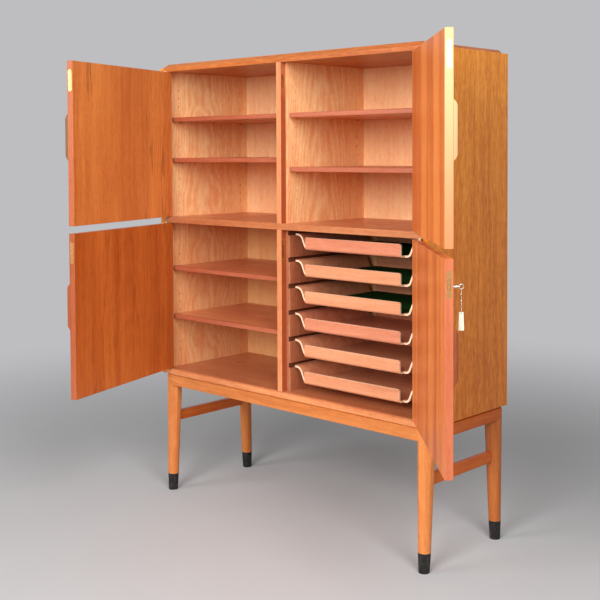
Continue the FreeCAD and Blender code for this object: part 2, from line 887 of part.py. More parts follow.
def pull_solid(z):
    """A pull glued to a right-hand door's outer face, flush with the door's free edge."""
    x = door_free_edge
    half = pull_length / 2
    flat = pull_flat_length / 2
    tip = front - pull_projection
    inset = pull_round * arc_middle_share
    bottom = z - half
    edge_foot = vec(x, front, bottom)
    edge_top = vec(x, tip + pull_round, bottom)
    round_middle = vec(x + inset, tip + inset, bottom)
    face_start = vec(x + pull_round, tip, bottom)
    face_end = vec(x + pull_width, tip, bottom)
    back_foot = vec(x + pull_width - pull_undercut, front, bottom)
    section = face_of(
        [
            line(edge_foot, edge_top),
            arc(edge_top, round_middle, face_start),
            line(face_start, face_end),
            line(face_end, back_foot),
            line(back_foot, edge_foot),
        ]
    )
    bar = section.extrude(vec(0, 0, pull_length))
    bow_y = front - pull_projection * pull_bow_share
    bow_z = (half + flat) / 2

    def at(y, offset):
        return vec(x - overrun, y, z + offset)

    profile = face_of(
        [
            line(at(front, -half), at(front, half)),
            arc(at(front, half), at(bow_y, bow_z), at(tip, flat)),
            line(at(tip, flat), at(tip, -flat)),
            arc(at(tip, -flat), at(bow_y, -bow_z), at(front, -half)),
        ]
    )
    return bar.common(profile.extrude(vec(pull_width + 2 * overrun, 0, 0)))


def edge_plate(z):
    """The plate in a right-hand door's free edge, and its screws."""
    y = front + door_thickness / 2
    return plate_with_screws(door_free_edge, y, z, plate_height, plate_width, plate_thickness, 1)


def lock_pieces(z):
    """The lock of the lower right door, closed and unlocked: case with its face plate, and bolt."""
    centre_y = front + door_thickness / 2
    plate, screws = edge_plate(z)
    x0 = door_free_edge + plate_thickness
    case = box(
        x0,
        x0 + lock_case_depth,
        centre_y - lock_case_thickness / 2,
        centre_y + lock_case_thickness / 2,
        z - lock_case_height / 2,
        z + lock_case_height / 2,
    )
    for piece in screws:
        case = case.cut(piece)
    shape = plate.fuse(case).removeSplitter()
    pocket = shape.copy()
    bolt = box(
        door_free_edge + running_clearance,
        door_free_edge + bolt_length,
        centre_y - bolt_thickness / 2,
        centre_y + bolt_thickness / 2,
        z - bolt_height / 2,
        z + bolt_height / 2,
    )
    throat = box(
        door_free_edge - overrun,
        door_free_edge + bolt_length + bolt_clearance,
        centre_y - bolt_thickness / 2 - bolt_clearance,
        centre_y + bolt_thickness / 2 + bolt_clearance,
        z - bolt_height / 2 - bolt_clearance,
        z + bolt_height / 2 + bolt_clearance,
    )
    key_x = door_free_edge + key_backset + bolt_clearance
    key_z = z + key_rise
    sweep = math.hypot(key_bit_height, key_bit_thickness / 2) + key_cavity_clearance
    inner_end = vec(key_x, front + key_inside_length + key_cavity_clearance, key_z)
    room_length = key_bit_length + 2 * key_cavity_clearance
    key_room = Part.makeCylinder(sweep, room_length, inner_end, Y_AXIS * -1)
    way_radius = key_shank_radius + keyhole_clearance
    way_in = Part.makeCylinder(way_radius, door_thickness, inner_end, Y_AXIS * -1)
    shape = shape.cut(throat).cut(key_room).cut(way_in)
    return shape, screws, bolt, pocket, way_in, (key_x, key_z)


def key_solid(key_x, key_z):
    tip = vec(key_x, front + key_inside_length, key_z)
    shank_length = key_inside_length + key_shank_length
    shank = Part.makeCylinder(key_shank_radius, shank_length, tip, Y_AXIS * -1)
    bit = box(
        key_x - key_bit_thickness / 2,
        key_x + key_bit_thickness / 2,
        front + key_inside_length - key_bit_length,
        front + key_inside_length,
        key_z - key_bit_height,
        key_z,
    )
    collar_start = vec(key_x, front - key_shank_length / 2, key_z)
    collar = Part.makeCylinder(key_collar_radius, key_collar_length, collar_start, Y_AXIS * -1)
    bow = ring(vec(key_x, bow_centre_y(), key_z), X_AXIS, bow_radius, bow_wire_radius)
    return shank.fuse([bit, collar, bow]).removeSplitter()


def bow_centre_y():
    return front - key_shank_length - bow_radius + bow_wire_radius / 2


def chain_and_tag(key_x, key_z):
    """A bead chain that hangs from the key's bow, and a plain tag at its end."""
    y = bow_centre_y()
    rim_z = key_z - bow_radius
    ring_z = rim_z - (ring_radius - ring_wire_radius - bow_wire_radius - ring_seat_gap)
    top_ring = ring(vec(key_x, y, ring_z), Y_AXIS, ring_radius, ring_wire_radius)
    start_z = ring_z - ring_radius
    run = bead_pitch * (bead_count + 1)
    wire = Part.makeCylinder(bead_wire_radius, run, vec(key_x, y, start_z), Z_AXIS * -1)
    beads = []
    for i in range(bead_count):
        centre = vec(key_x, y, start_z - bead_pitch * (i + 1))
        beads.append(Part.makeSphere(bead_radius, centre))
    tag_ring_z = start_z - run - tag_ring_radius
    low_ring = ring(vec(key_x, y, tag_ring_z), Y_AXIS, tag_ring_radius, ring_wire_radius)
    chain = top_ring.fuse([wire, low_ring] + beads)

    hole_z = tag_ring_z - tag_ring_radius - ring_wire_radius + tag_hole_radius
    tag_top = hole_z + 2 * tag_hole_radius
    tag_low = tag_top - tag_height
    x = key_x - tag_thickness / 2
    outline = [
        vec(x, y - tag_top_width / 2, tag_top),
        vec(x, y + tag_top_width / 2, tag_top),
        vec(x, y + tag_width / 2, tag_low),
        vec(x, y - tag_width / 2, tag_low),
    ]
    tag = polygon_face(outline).extrude(vec(tag_thickness, 0, 0))
    corners = [e for e in tag.Edges if near(e.BoundBox.XLength, tag_thickness)]
    tag = tag.makeFillet(tag_corner_round, corners)
    hole_start = vec(x - overrun, y, hole_z)
    hole = Part.makeCylinder(tag_hole_radius, tag_thickness + 2 * overrun, hole_start, X_AXIS)
    return chain, tag.cut(hole)


def save_door(level, side, z0, z1, leaf_sets, plate_z, pull):
    """Save one door's pieces at its open place; side is -1 for left and 1 for right."""
    angle = left_door_opening if side < 0 else right_door_opening
    name = level + ("_left" if side < 0 else "_right")

    def placed(shape):
        shape = mirrored_x(shape) if side < 0 else shape
        return opened(shape, side, angle)

    slab = door_slab(z0, z1)
    for leaf_set in leaf_sets:
        slab = let_in(slab, leaf_set[3])
    if level == "lower" and side > 0:
        case, screws, bolt, pocket, way_in, key_at = lock_pieces(plate_z)
        slab = let_in(slab, pocket, way_in, *screws)
        chain, tag = chain_and_tag(*key_at)
        save("lock_case", *[placed(piece) for piece in [case, *screws]])
        save("lock_bolt", placed(bolt))
        save("key", placed(key_solid(*key_at)))
        save("key_chain", placed(chain))
        save("key_tag", placed(tag))
    else:
        plate, screws = edge_plate(plate_z)
        slab = let_in(slab, plate, *screws)
        save(name + "_edge_plate", *[placed(piece) for piece in [plate, *screws]])
    save(name + "_door", placed(slab))
    save(name + "_pull", placed(pull))
    save(name + "_door_leaves", *[placed(leaf_set[1]) for leaf_set in leaf_sets])


def make_doors():
    upper_leaves = [hinge_set(middle_top, 1), hinge_set(top_bottom, -1)]
    lower_leaves = [hinge_set(bottom_top, 1), hinge_set(middle_bottom, -1)]
    upper_pull = pull_solid(upper_door_top - upper_pull_drop)
    lower_pull = pull_solid(lower_door_top - lower_pull_drop)
    for side in (-1, 1):
        save_door("upper", side, upper_door_bottom, upper_door_top, upper_leaves, upper_plate_z(), upper_pull)
        save_door("lower", side, lower_door_bottom, lower_door_top, lower_leaves, lower_plate_z(), lower_pull)


os.makedirs("parts", exist_ok=True)
make_stand()
make_carcass()
make_shelving()
make_trays()
make_doors()
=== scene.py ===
"""Storage cabinet on a stand: wood, metal and cloth finishes, tray linings and the stage."""

import math

import bmesh
import bpy
from bpy.props import FloatProperty, FloatVectorProperty, PointerProperty
from mathutils import Matrix, Vector


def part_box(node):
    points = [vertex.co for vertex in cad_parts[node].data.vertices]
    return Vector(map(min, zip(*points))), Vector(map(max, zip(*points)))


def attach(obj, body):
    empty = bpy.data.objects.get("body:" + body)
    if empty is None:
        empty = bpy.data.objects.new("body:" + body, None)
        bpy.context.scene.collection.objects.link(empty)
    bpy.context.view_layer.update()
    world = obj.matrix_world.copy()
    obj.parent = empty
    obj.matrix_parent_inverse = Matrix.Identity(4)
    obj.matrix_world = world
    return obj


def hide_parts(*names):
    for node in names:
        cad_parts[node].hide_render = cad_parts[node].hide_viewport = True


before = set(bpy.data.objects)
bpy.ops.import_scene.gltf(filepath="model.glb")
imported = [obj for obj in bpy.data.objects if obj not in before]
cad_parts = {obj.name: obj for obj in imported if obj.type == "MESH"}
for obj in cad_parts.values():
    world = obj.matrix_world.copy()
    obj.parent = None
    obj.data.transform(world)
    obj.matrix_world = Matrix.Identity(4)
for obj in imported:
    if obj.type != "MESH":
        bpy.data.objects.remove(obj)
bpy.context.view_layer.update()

bl_info = {
    "name": "Storage Cabinet",
    "version": (1, 0, 0),
    "blender": (4, 5, 0),
    "location": "View3D > Sidebar > Cabinet",
    "description": "Finishes a storage cabinet with four doors, shelves and trays",
    "category": "Object",
}

# Places and depths on the cabinet, in metres

FRONT = -0.195
SIDE_INNER = 0.546
DOOR_WIDTH = 0.5335
DOOR_GAP = 0.0015
PIVOT_SETBACK = 0.0085
SHELF_SETBACK = 0.027
GROOVE_START = 0.0245
GROOVE_DEPTH = 0.006
LINING_NOSE = 0.0045
CLOTH_LIFT = 0.0001
LAMP_TARGET = (0.0, 0.0, 0.8)

# Heights between which a wood's colour changes, in metres

DIVIDER_FADE = (1.3, 1.38)
# Painted shade on the sides, darker towards the floor
SIDE_FADE = (0.5, 1.4)
# Painted highlight on the upper right door's free edge, paler towards the top
EDGE_HIGHLIGHT_FADE = (0.9, 1.4)

# Depths below a face within which one wood, or painted shade, gives way to the next, in metres

OUTER_SKIN = (0.0012, 0.0008)
FREE_EDGE_SKIN = (0.0014, 0.001)
DIVIDER_SKIN = (0.0014, 0.002)
FRONT_SKIN = 0.001
BACK_SKIN = 0.001
GROOVE_SKIN = 0.0006
BLEND = 0.0004

# Trays, and their marks on the door: the steps' middle and reach, the length in metres, and the strength

TRAY_COUNT = 6
LINED_TRAYS = 3
SCUFF_STEPS = (2.5, 2.6)
SCUFF_LENGTH = (0.08, 0.2)
SCUFF_STRENGTH = 0.4

# Looks that no setting changes

DUST = (0.62, 0.58, 0.52)
LAMP_COLOUR = (1.0, 0.985, 0.965)
SKY_COLOUR = (1.0, 0.985, 0.97)
FLOOR_FADE = (0.1, 0.5)
FLAT_FIGURE = {"Streaks": 0.35, "Bands": 0.3, "Mottle": 0.3}


# Colours


def tone(red, green, blue):
    """A display colour from 0 to 255 as the linear colour that shaders use."""

    def linear(value):
        value /= 255
        return value / 12.92 if value <= 0.04045 else ((value + 0.055) / 1.055) ** 2.4

    return tuple(linear(value) for value in (red, green, blue))


def tinted(shade, tint):
    """A colour multiplied channel by channel."""
    return tuple(min(1.0, value * share) for value, share in zip(shade, tint))


def tinted_pair(pair, tint):
    """A wood's light and dark tones under one tint."""
    return [tinted(shade, tint) for shade in pair]


def scaled(shade, share):
    """A colour made darker or lighter as a whole."""
    return tinted(shade, (share, share, share))


def wood_pair(colours, wood_name):
    """A wood's light and dark tones from the settings."""
    return [tuple(getattr(colours, wood_name + grain)) for grain in ("_light", "_dark")]


def swatch(name, description, *shade):
    """A colour setting from its display tones."""
    return FloatVectorProperty(name=name, description=description, subtype="COLOR", default=tone(*shade))


def length_setting(name, description, default, low, high=100.0):
    return FloatProperty(
        name=name, description=description, default=default, min=low, max=high, subtype="DISTANCE"
    )


def angle_setting(name, description, degrees):
    return FloatProperty(name=name, description=description, default=math.radians(degrees), subtype="ANGLE")


def power_setting(name, description, watts):
    return FloatProperty(name=name, description=description, default=watts, min=0, subtype="POWER")


class CabinetColours(bpy.types.PropertyGroup):
    """Colours of the cabinet's woods, metals and cloths."""

    door_light: swatch("Door, light grain", "Lighter tone of the doors' inner faces", 232, 132, 62)
    door_dark: swatch("Door, dark grain", "Darker tone of the doors' inner faces", 188, 88, 36)
    outer_light: swatch("Outside, light grain", "Lighter tone of the sides, top and doors", 252, 164, 66)
    outer_dark: swatch("Outside, dark grain", "Darker tone of the sides, top and doors", 206, 114, 34)
    lipping_light: swatch("Lipping, light grain", "Lighter tone of the solid edges and pulls", 234, 132, 98)
    lipping_dark: swatch("Lipping, dark grain", "Darker tone of the solid edges and pulls", 202, 96, 66)
    # Painted highlight: the free edge's pale colour towards the top
    pale_edge: swatch("Door edge highlight", "The painted highlight in the upper right door's free edge", 232, 202, 146)
    inner_light: swatch("Inside, light grain", "Lighter tone of the linings and back panel", 255, 220, 170)
    inner_dark: swatch("Inside, dark grain", "Darker tone of the linings and back panel", 244, 174, 122)
    shelf_light: swatch("Shelf, light grain", "Lighter tone of the shelves and inner boards", 240, 156, 104)
    shelf_dark: swatch("Shelf, dark grain", "Darker tone of the shelves and inner boards", 196, 106, 64)
    post_light: swatch("Divider, light grain", "Lighter tone of the dividers' front edges", 232, 157, 107)
    post_dark: swatch("Divider, dark grain", "Darker tone of the dividers' front edges", 202, 119, 75)
    strip_light: swatch("Divider's side, light grain", "Lighter tone of the dividers' sides", 190, 98, 58)
    strip_dark: swatch("Divider's side, dark grain", "Darker tone of the dividers' sides", 158, 76, 44)
    stand_light: swatch("Stand, light grain", "Lighter tone of legs, aprons and stretchers", 230, 146, 80)
    stand_dark: swatch("Stand, dark grain", "Darker tone of legs, aprons and stretchers", 190, 101, 44)
    tray_light: swatch("Tray, light grain", "Lighter tone of the trays' veneer", 232, 152, 118)
    tray_dark: swatch("Tray, dark grain", "Darker tone of the trays' veneer", 198, 118, 86)
    tray_edge: swatch("Tray, cut edge", "Pale layers in the trays' cut edges", 255, 222, 188)
    baize: swatch("Baize", "Cloth in the upper three trays", 26, 74, 28)
    brass: swatch("Brass", "Shelf pins, strike plates and the upper left edge plate", 228, 196, 120)
    steel: swatch("Steel", "Key and bead chain", 238, 234, 226)
    ferrule: swatch("Ferrules", "Black paint of the four shoes", 26, 24, 24)
    tag: swatch("Tag", "Cream tag on the key's chain", 255, 250, 214)


class CabinetSizes(bpy.types.PropertyGroup):
    """Sizes of the cloth linings and of the finishes' detail."""

    cloth_thickness: length_setting("Cloth thickness", "Thickness of a tray's lining", 0.0008, 0.0004, 0.001)
    cloth_wave: length_setting("Cloth wave", "Height of the waves in a tray's lining", 0.0005, 0.0, 0.002)
    # The paler band is rubbed wear, and on wood also a painted highlight
    worn_edge: length_setting("Worn edge", "Width of the paler band along edges", 0.0016, 0.0002, 0.005)
    lipping: length_setting("Lipping", "Depth of the solid strip at the front of a shelf", 0.009, 0.002, 0.03)


class CabinetStage(bpy.types.PropertyGroup):
    """The camera, the lamps and the floor."""

    camera_place: FloatVectorProperty(
        name="Camera place",
        description="Where the camera stands",
        subtype="TRANSLATION",
        default=(2.25672, -2.48527, 1.15362),
    )
    camera_azimuth: angle_setting("Camera azimuth", "How far the camera has gone round to the right", 43.4153)
    camera_tilt: angle_setting("Camera tilt", "How far the camera looks down", 2.0)
    camera_roll: angle_setting("Camera roll", "Turn of the camera about its own view", -0.251)
    camera_lens: FloatProperty(
        name="Lens",
        description="Focal length in millimetres on a 36 mm sensor",
        default=63.266,
        min=10,
        subtype="DISTANCE_CAMERA",
    )
    camera_shift: FloatProperty(
        name="Shift",
        description="Vertical shift as a share of the picture's width",
        default=-0.18370,
    )
    floor_radius: length_setting("Floor radius", "Radius of the floor, which fades out halfway", 7.0, 3.0)
    floor_colour: swatch("Floor", "Colour of the floor", 208, 210, 213)
    backdrop_colour: swatch("Background", "Colour behind the cabinet", 190, 190, 193)
    sky_strength: FloatProperty(name="Sky", description="Even light from all round", default=0.15, min=0)
    left_power: power_setting("Left lamp", "Power of the large lamp at the front left", 65)
    front_power: power_setting("Front lamp", "Power of the large lamp in front", 170)
    right_power: power_setting("Right lamp", "Power of the large lamp at the right", 85)


# Building shader trees


def fill(tree, node, values):
    """Set a node's sockets, or join them to the sockets of other nodes."""
    for socket, value in values.items():
        if isinstance(value, bpy.types.NodeSocket):
            tree.links.new(value, node.inputs[socket])
        else:
            node.inputs[socket].default_value = value


def put(tree, kind, values=None, **settings):
    """Add a node with its settings and its sockets' values."""
    node = tree.nodes.new(kind)
    for name, value in settings.items():
        setattr(node, name, value)
    fill(tree, node, values or {})
    return node


def calc(tree, operation, *values, clamp=False):
    """The result of one sum on numbers or sockets."""
    node = put(tree, "ShaderNodeMath", dict(enumerate(values)), operation=operation, use_clamp=clamp)
    return node.outputs[0]


def chain(tree, operation, first, *others):
    """The result of one kind of sum carried on from value to value."""
    for other in others:
        first = calc(tree, operation, first, other)
    return first


def vector_calc(tree, operation, first, second):
    node = put(tree, "ShaderNodeVectorMath", {0: first, 1: second}, operation=operation)
    return node.outputs["Value" if operation == "DOT_PRODUCT" else "Vector"]


def axes(tree, vector):
    """A vector's X, Y and Z sockets."""
    return put(tree, "ShaderNodeSeparateXYZ", {"Vector": vector}).outputs


def ramp(tree, value, low, high, to_low=0.0, to_high=1.0, smooth=False):
    """A value moved from one range to another and held inside it."""
    values = {"Value": value, "From Min": low, "From Max": high, "To Min": to_low, "To Max": to_high}
    kind = "SMOOTHSTEP" if smooth else "LINEAR"
    return put(tree, "ShaderNodeMapRange", values, interpolation_type=kind).outputs["Result"]


def mix(tree, factor, first, second):
    """Two colours mixed by a factor. The node's sockets 6 and 7 and its output 2 are the colour ones."""
    values = {0: factor, 6: first, 7: second}
    for socket in (6, 7):
        if not isinstance(values[socket], bpy.types.NodeSocket):
            values[socket] = (*values[socket], 1.0)
    return put(tree, "ShaderNodeMix", values, data_type="RGBA", clamp_factor=True).outputs[2]


def noise(tree, vector, scale, detail, roughness):
    values = {"Vector": vector, "Scale": scale, "Detail": detail, "Roughness": roughness}
    return put(tree, "ShaderNodeTexNoise", values).outputs["Fac"]


def new_group(name, inputs, outputs):
    """An empty node group: its tree, the sockets that it is given, and the node that takes its results.

    An input is a number with its default, or a vector where the default is None. All outputs are numbers.
    """
    group = bpy.data.node_groups.new(name, "ShaderNodeTree")
    for label, default in inputs.items():
        kind = "NodeSocketVector" if default is None else "NodeSocketFloat"
        socket = group.interface.new_socket(name=label, in_out="INPUT", socket_type=kind)
        if default is not None:
            socket.default_value = default
    for label in outputs:
        group.interface.new_socket(name=label, in_out="OUTPUT", socket_type="NodeSocketFloat")
    return group, group.nodes.new("NodeGroupInput").outputs, group.nodes.new("NodeGroupOutput")


def grain_group():
    """Wood grain along the vector's Z: a tone from dark to light, pores, dark veins and a height."""
    inputs = {
        "Vector": None,
        "Streaks": 0.5,
        "Bands": 0.5,
        "Crown": 0.0,
        "Mottle": 0.3,
        "Veins": 0.0,
        "Ribbons": 0.0,
        "Pore Scale": 1000.0,
    }
    ring_slope = 0.022
    ring_density = 2200.0
    tree, given, result = new_group("Wood Grain", inputs, ("Tone", "Pores", "Veins", "Height"))
    wander = put(tree, "ShaderNodeTexNoise", {"Vector": given["Vector"], "Scale": 3.5, "Detail": 2.0})
    sway = vector_calc(tree, "MULTIPLY", wander.outputs["Color"], (0.03, 0.03, 0.0))
    swayed = vector_calc(tree, "ADD", given["Vector"], sway)

    def along(stretch, scale, detail, roughness):
        """Noise that is drawn out along the grain."""
        place = vector_calc(tree, "MULTIPLY", swayed, (1.0, 1.0, stretch))
        return noise(tree, place, scale, detail, roughness)

    def centred(value, low, high, amount):
        """A value about nought, at the strength of the amount."""
        return calc(tree, "MULTIPLY", calc(tree, "SUBTRACT", ramp(tree, value, low, high), 0.5), amount)

    streaks = centred(along(0.035, 420.0, 3.0, 0.6), 0.28, 0.72, given["Streaks"])
    bands = centred(along(0.03, 52.0, 4.0, 0.55), 0.34, 0.66, given["Bands"])
    mottle = centred(along(0.42, 95.0, 2.0, 0.6), 0.3, 0.7, given["Mottle"])
    drift = centred(along(0.35, 5.0, 2.0, 0.5), 0.3, 0.7, 0.35)
    ribbons = centred(along(0.02, 14.0, 1.0, 0.5), 0.36, 0.64, given["Ribbons"])

    place = axes(tree, swayed)
    across = calc(tree, "ADD", calc(tree, "POWER", place["X"], 2.0), calc(tree, "POWER", place["Y"], 2.0))
    rise = calc(tree, "MULTIPLY", place["Z"], ring_slope)
    rough = calc(tree, "MULTIPLY", along(0.12, 14.0, 3.0, 0.6), 0.006)
    rings = chain(tree, "ADD", across, rise, rough)
    wave = calc(tree, "SINE", calc(tree, "MULTIPLY", rings, ring_density))
    crown = chain(tree, "MULTIPLY", wave, given["Crown"], 0.3)

    total = calc(tree, "ADD", calc(tree, "ADD", streaks, bands), calc(tree, "ADD", mottle, drift))
    whole = calc(tree, "ADD", chain(tree, "ADD", total, crown, ribbons), 0.5, clamp=True)

    line = calc(tree, "ABSOLUTE", calc(tree, "SUBTRACT", along(0.08, 11.0, 4.0, 0.6), 0.5))
    patch = ramp(tree, along(0.25, 6.0, 1.0, 0.5), 0.44, 0.6)
    veins = chain(tree, "MULTIPLY", ramp(tree, line, 0.022, 0.0), patch, given["Veins"])
    pores = ramp(tree, along(0.06, given["Pore Scale"], 1.0, 0.5), 0.6, 0.72)
    height = calc(tree, "SUBTRACT", calc(tree, "MULTIPLY", whole, 0.3), calc(tree, "MULTIPLY", pores, 0.7))
    fill(tree, result, {"Tone": whole, "Pores": pores, "Veins": veins, "Height": height})
    return tree


def wear_group():
    """Where handling has rubbed an edge, and on wood a painted highlight: a mask along edges of a given
    width, broken up by noise.
    """
    tree, given, result = new_group("Edge Wear", {"Vector": None, "Width": 0.0015, "Amount": 0.5}, ("Edge",))
    rounded = put(tree, "ShaderNodeBevel", {"Radius": given["Width"]}, samples=4)
    flat = put(tree, "ShaderNodeNewGeometry")
    turn = vector_calc(tree, "DOT_PRODUCT", rounded.outputs["Normal"], flat.outputs["Normal"])
    edge = ramp(tree, turn, 0.995, 0.86)
    broken = ramp(tree, noise(tree, given["Vector"], 60.0, 3.0, 0.6), 0.3, 0.65)
    mask = calc(tree, "MULTIPLY", calc(tree, "MULTIPLY", edge, broken), given["Amount"], clamp=True)
    fill(tree, result, {"Edge": mask})
    return tree


def handling_group():
    """Slow changes in gloss, and a little settled dust on faces that look up."""
    inputs = {"Vector": None, "Gloss": 0.4, "Spread": 0.1}
    tree, given, result = new_group("Handling", inputs, ("Roughness", "Dust"))
    smears = ramp(tree, noise(tree, given["Vector"], 9.0, 4.0, 0.6), 0.3, 0.7, -0.5, 0.5)
    change = calc(tree, "MULTIPLY", smears, given["Spread"])
    roughness = calc(tree, "ADD", given["Gloss"], change, clamp=True)
    facing = axes(tree, put(tree, "ShaderNodeNewGeometry").outputs["Normal"])
    up = ramp(tree, facing["Z"], 0.7, 1.0)
    grime = ramp(tree, noise(tree, given["Vector"], 140.0, 4.0, 0.7), 0.45, 0.8, 0.0, 0.16)
    fill(tree, result, {"Roughness": roughness, "Dust": calc(tree, "MULTIPLY", up, grime)})
    return tree


def layers_group():
    """Cut edges of a bent sheet that is folded up at the ends: their mask and their layers.

    The vector starts at the middle of the tray's width, its flap's show face and its lips' top.
    """
    inputs = {
        "Vector": None,
        "Normal": None,
        "Length": 0.346,
        "Half Flap": 0.182,
        "Sheet": 0.0055,
        "Flap Top": -0.0085,
        "Floor": -0.047,
        "Advance": 0.019,
    }
    slack = 0.0002
    lip_start = 0.0015
    layer_count = 5
    tree, given, result = new_group("Sheet Edges", inputs, ("Mask", "Layers"))
    place = axes(tree, given["Vector"])
    facing = axes(tree, given["Normal"])
    side = calc(tree, "ABSOLUTE", place["X"])
    from_back = calc(tree, "SUBTRACT", given["Length"], place["Y"])
    inset = calc(tree, "MINIMUM", place["Y"], from_back)
    level = calc(tree, "SUBTRACT", place["Z"], given["Floor"])

    in_flap = calc(tree, "LESS_THAN", inset, calc(tree, "ADD", given["Sheet"], slack))
    at_top = calc(tree, "GREATER_THAN", place["Z"], calc(tree, "SUBTRACT", given["Flap Top"], 2 * slack))
    flap_top = calc(tree, "MULTIPLY", in_flap, at_top)
    at_side = calc(tree, "GREATER_THAN", side, calc(tree, "SUBTRACT", given["Half Flap"], 2 * slack))
    ahead = calc(tree, "LESS_THAN", inset, calc(tree, "SUBTRACT", given["Advance"], slack))
    on_flap = calc(tree, "MAXIMUM", flap_top, calc(tree, "MULTIPLY", at_side, ahead))
    upright = calc(tree, "LESS_THAN", calc(tree, "ABSOLUTE", facing["Z"]), 0.3)
    on_lip = calc(tree, "GREATER_THAN", side, calc(tree, "ADD", given["Half Flap"], lip_start))
    mask = calc(tree, "MAXIMUM", on_flap, calc(tree, "MULTIPLY", upright, on_lip))

    depth = calc(tree, "DIVIDE", calc(tree, "MINIMUM", inset, level), given["Sheet"])
    stripes = calc(tree, "SINE", calc(tree, "MULTIPLY", depth, math.pi * layer_count))
    layers = calc(tree, "MULTIPLY", ramp(tree, stripes, -0.4, 0.4), on_flap)
    fill(tree, result, {"Mask": mask, "Layers": layers})
    return tree


def weave_group():
    """Crossed threads under a short nap."""
    inputs = {"Vector": None, "Threads": 1400.0}
    tree, given, result = new_group("Nap and Weave", inputs, ("Tone", "Height"))
    place = axes(tree, given["Vector"])
    waves = []
    for axis in ("X", "Y", "Z"):
        turned = calc(tree, "MULTIPLY", place[axis], given["Threads"])
        waves.append(calc(tree, "ABSOLUTE", calc(tree, "SINE", turned)))
    crossing = calc(tree, "MULTIPLY", chain(tree, "ADD", *waves), 0.33)
    nap = noise(tree, given["Vector"], 900.0, 3.0, 0.7)
    worn = ramp(tree, noise(tree, given["Vector"], 14.0, 3.0, 0.6), 0.3, 0.7)
    patches = calc(tree, "MULTIPLY", worn, 0.45)
    shade = calc(tree, "ADD", calc(tree, "MULTIPLY", nap, 0.55), patches, clamp=True)
    height = calc(tree, "ADD", calc(tree, "MULTIPLY", crossing, 0.5), calc(tree, "MULTIPLY", nap, 0.5))
    fill(tree, result, {"Tone": shade, "Height": height})
    return tree


def scratch_group():
    """Fine scratches and tarnish on metal or paint."""
    tree, given, result = new_group("Scratches", {"Vector": None, "Scale": 1.0}, ("Scratch", "Tarnish"))
    size = put(tree, "ShaderNodeVectorMath", {0: given["Vector"], 3: given["Scale"]}, operation="SCALE")
    place = size.outputs["Vector"]
    along = noise(tree, vector_calc(tree, "MULTIPLY", place, (1.0, 1.0, 0.08)), 900.0, 2.0, 0.6)
    over = noise(tree, vector_calc(tree, "MULTIPLY", place, (0.1, 0.1, 1.0)), 700.0, 2.0, 0.6)
    scratch = calc(tree, "MAXIMUM", ramp(tree, along, 0.6, 0.7), ramp(tree, over, 0.64, 0.74))
    tarnish = ramp(tree, noise(tree, place, 120.0, 4.0, 0.65), 0.35, 0.7)
    fill(tree, result, {"Scratch": scratch, "Tarnish": tarnish})
    return tree


GROUPS = {
    "Wood Grain": grain_group,
    "Edge Wear": wear_group,
    "Handling": handling_group,
    "Sheet Edges": layers_group,
    "Nap and Weave": weave_group,
    "Scratches": scratch_group,
}


def group_node(tree, name, values):
    """Place a node group, which is built where it is wanted for the first time, and give its outputs."""
    group = bpy.data.node_groups.get(name) or GROUPS[name]()
    return put(tree, "ShaderNodeGroup", values, node_tree=group).outputs


def new_material(name):
    """An empty material: its tree, its surface shader and the object's own coordinates."""
    material = bpy.data.materials.new(name)
    material.use_nodes = True
    tree = material.node_tree
    tree.nodes.clear()
    surface = tree.nodes.new("ShaderNodeBsdfPrincipled")
    put(tree, "ShaderNodeOutputMaterial", {"Surface": surface.outputs["BSDF"]})
    return material, tree, surface, put(tree, "ShaderNodeTexCoord").outputs["Object"]


def bump(tree, surface, height, distance, strength):
    values = {"Height": height, "Distance": distance, "Strength": strength}
    fill(tree, surface, {"Normal": put(tree, "ShaderNodeBump", values).outputs["Normal"]})


# Wood


def grain_vector(tree, place, axis, shift):
    """The place with its grain axis moved to Z, and shifted so that boards differ."""
    moved = vector_calc(tree, "ADD", place, shift)
    if axis == "Z":
        return moved
    parts = axes(tree, moved)
    order = {"X": ("Y", "Z", "X"), "Y": ("X", "Z", "Y")}[axis]
    values = {number: parts[name] for number, name in enumerate(order)}
    return put(tree, "ShaderNodeCombineXYZ", values).outputs["Vector"]


def grain_colour(tree, grain, pair):
    """A wood's light and dark tones laid over the grain, with its pores and veins darkest."""
    light, dark = pair
    toned = mix(tree, grain["Tone"], dark, light)
    marks = calc(tree, "MAXIMUM", calc(tree, "MULTIPLY", grain["Pores"], 0.35), grain["Veins"])
    return mix(tree, marks, toned, scaled(dark, 0.42))


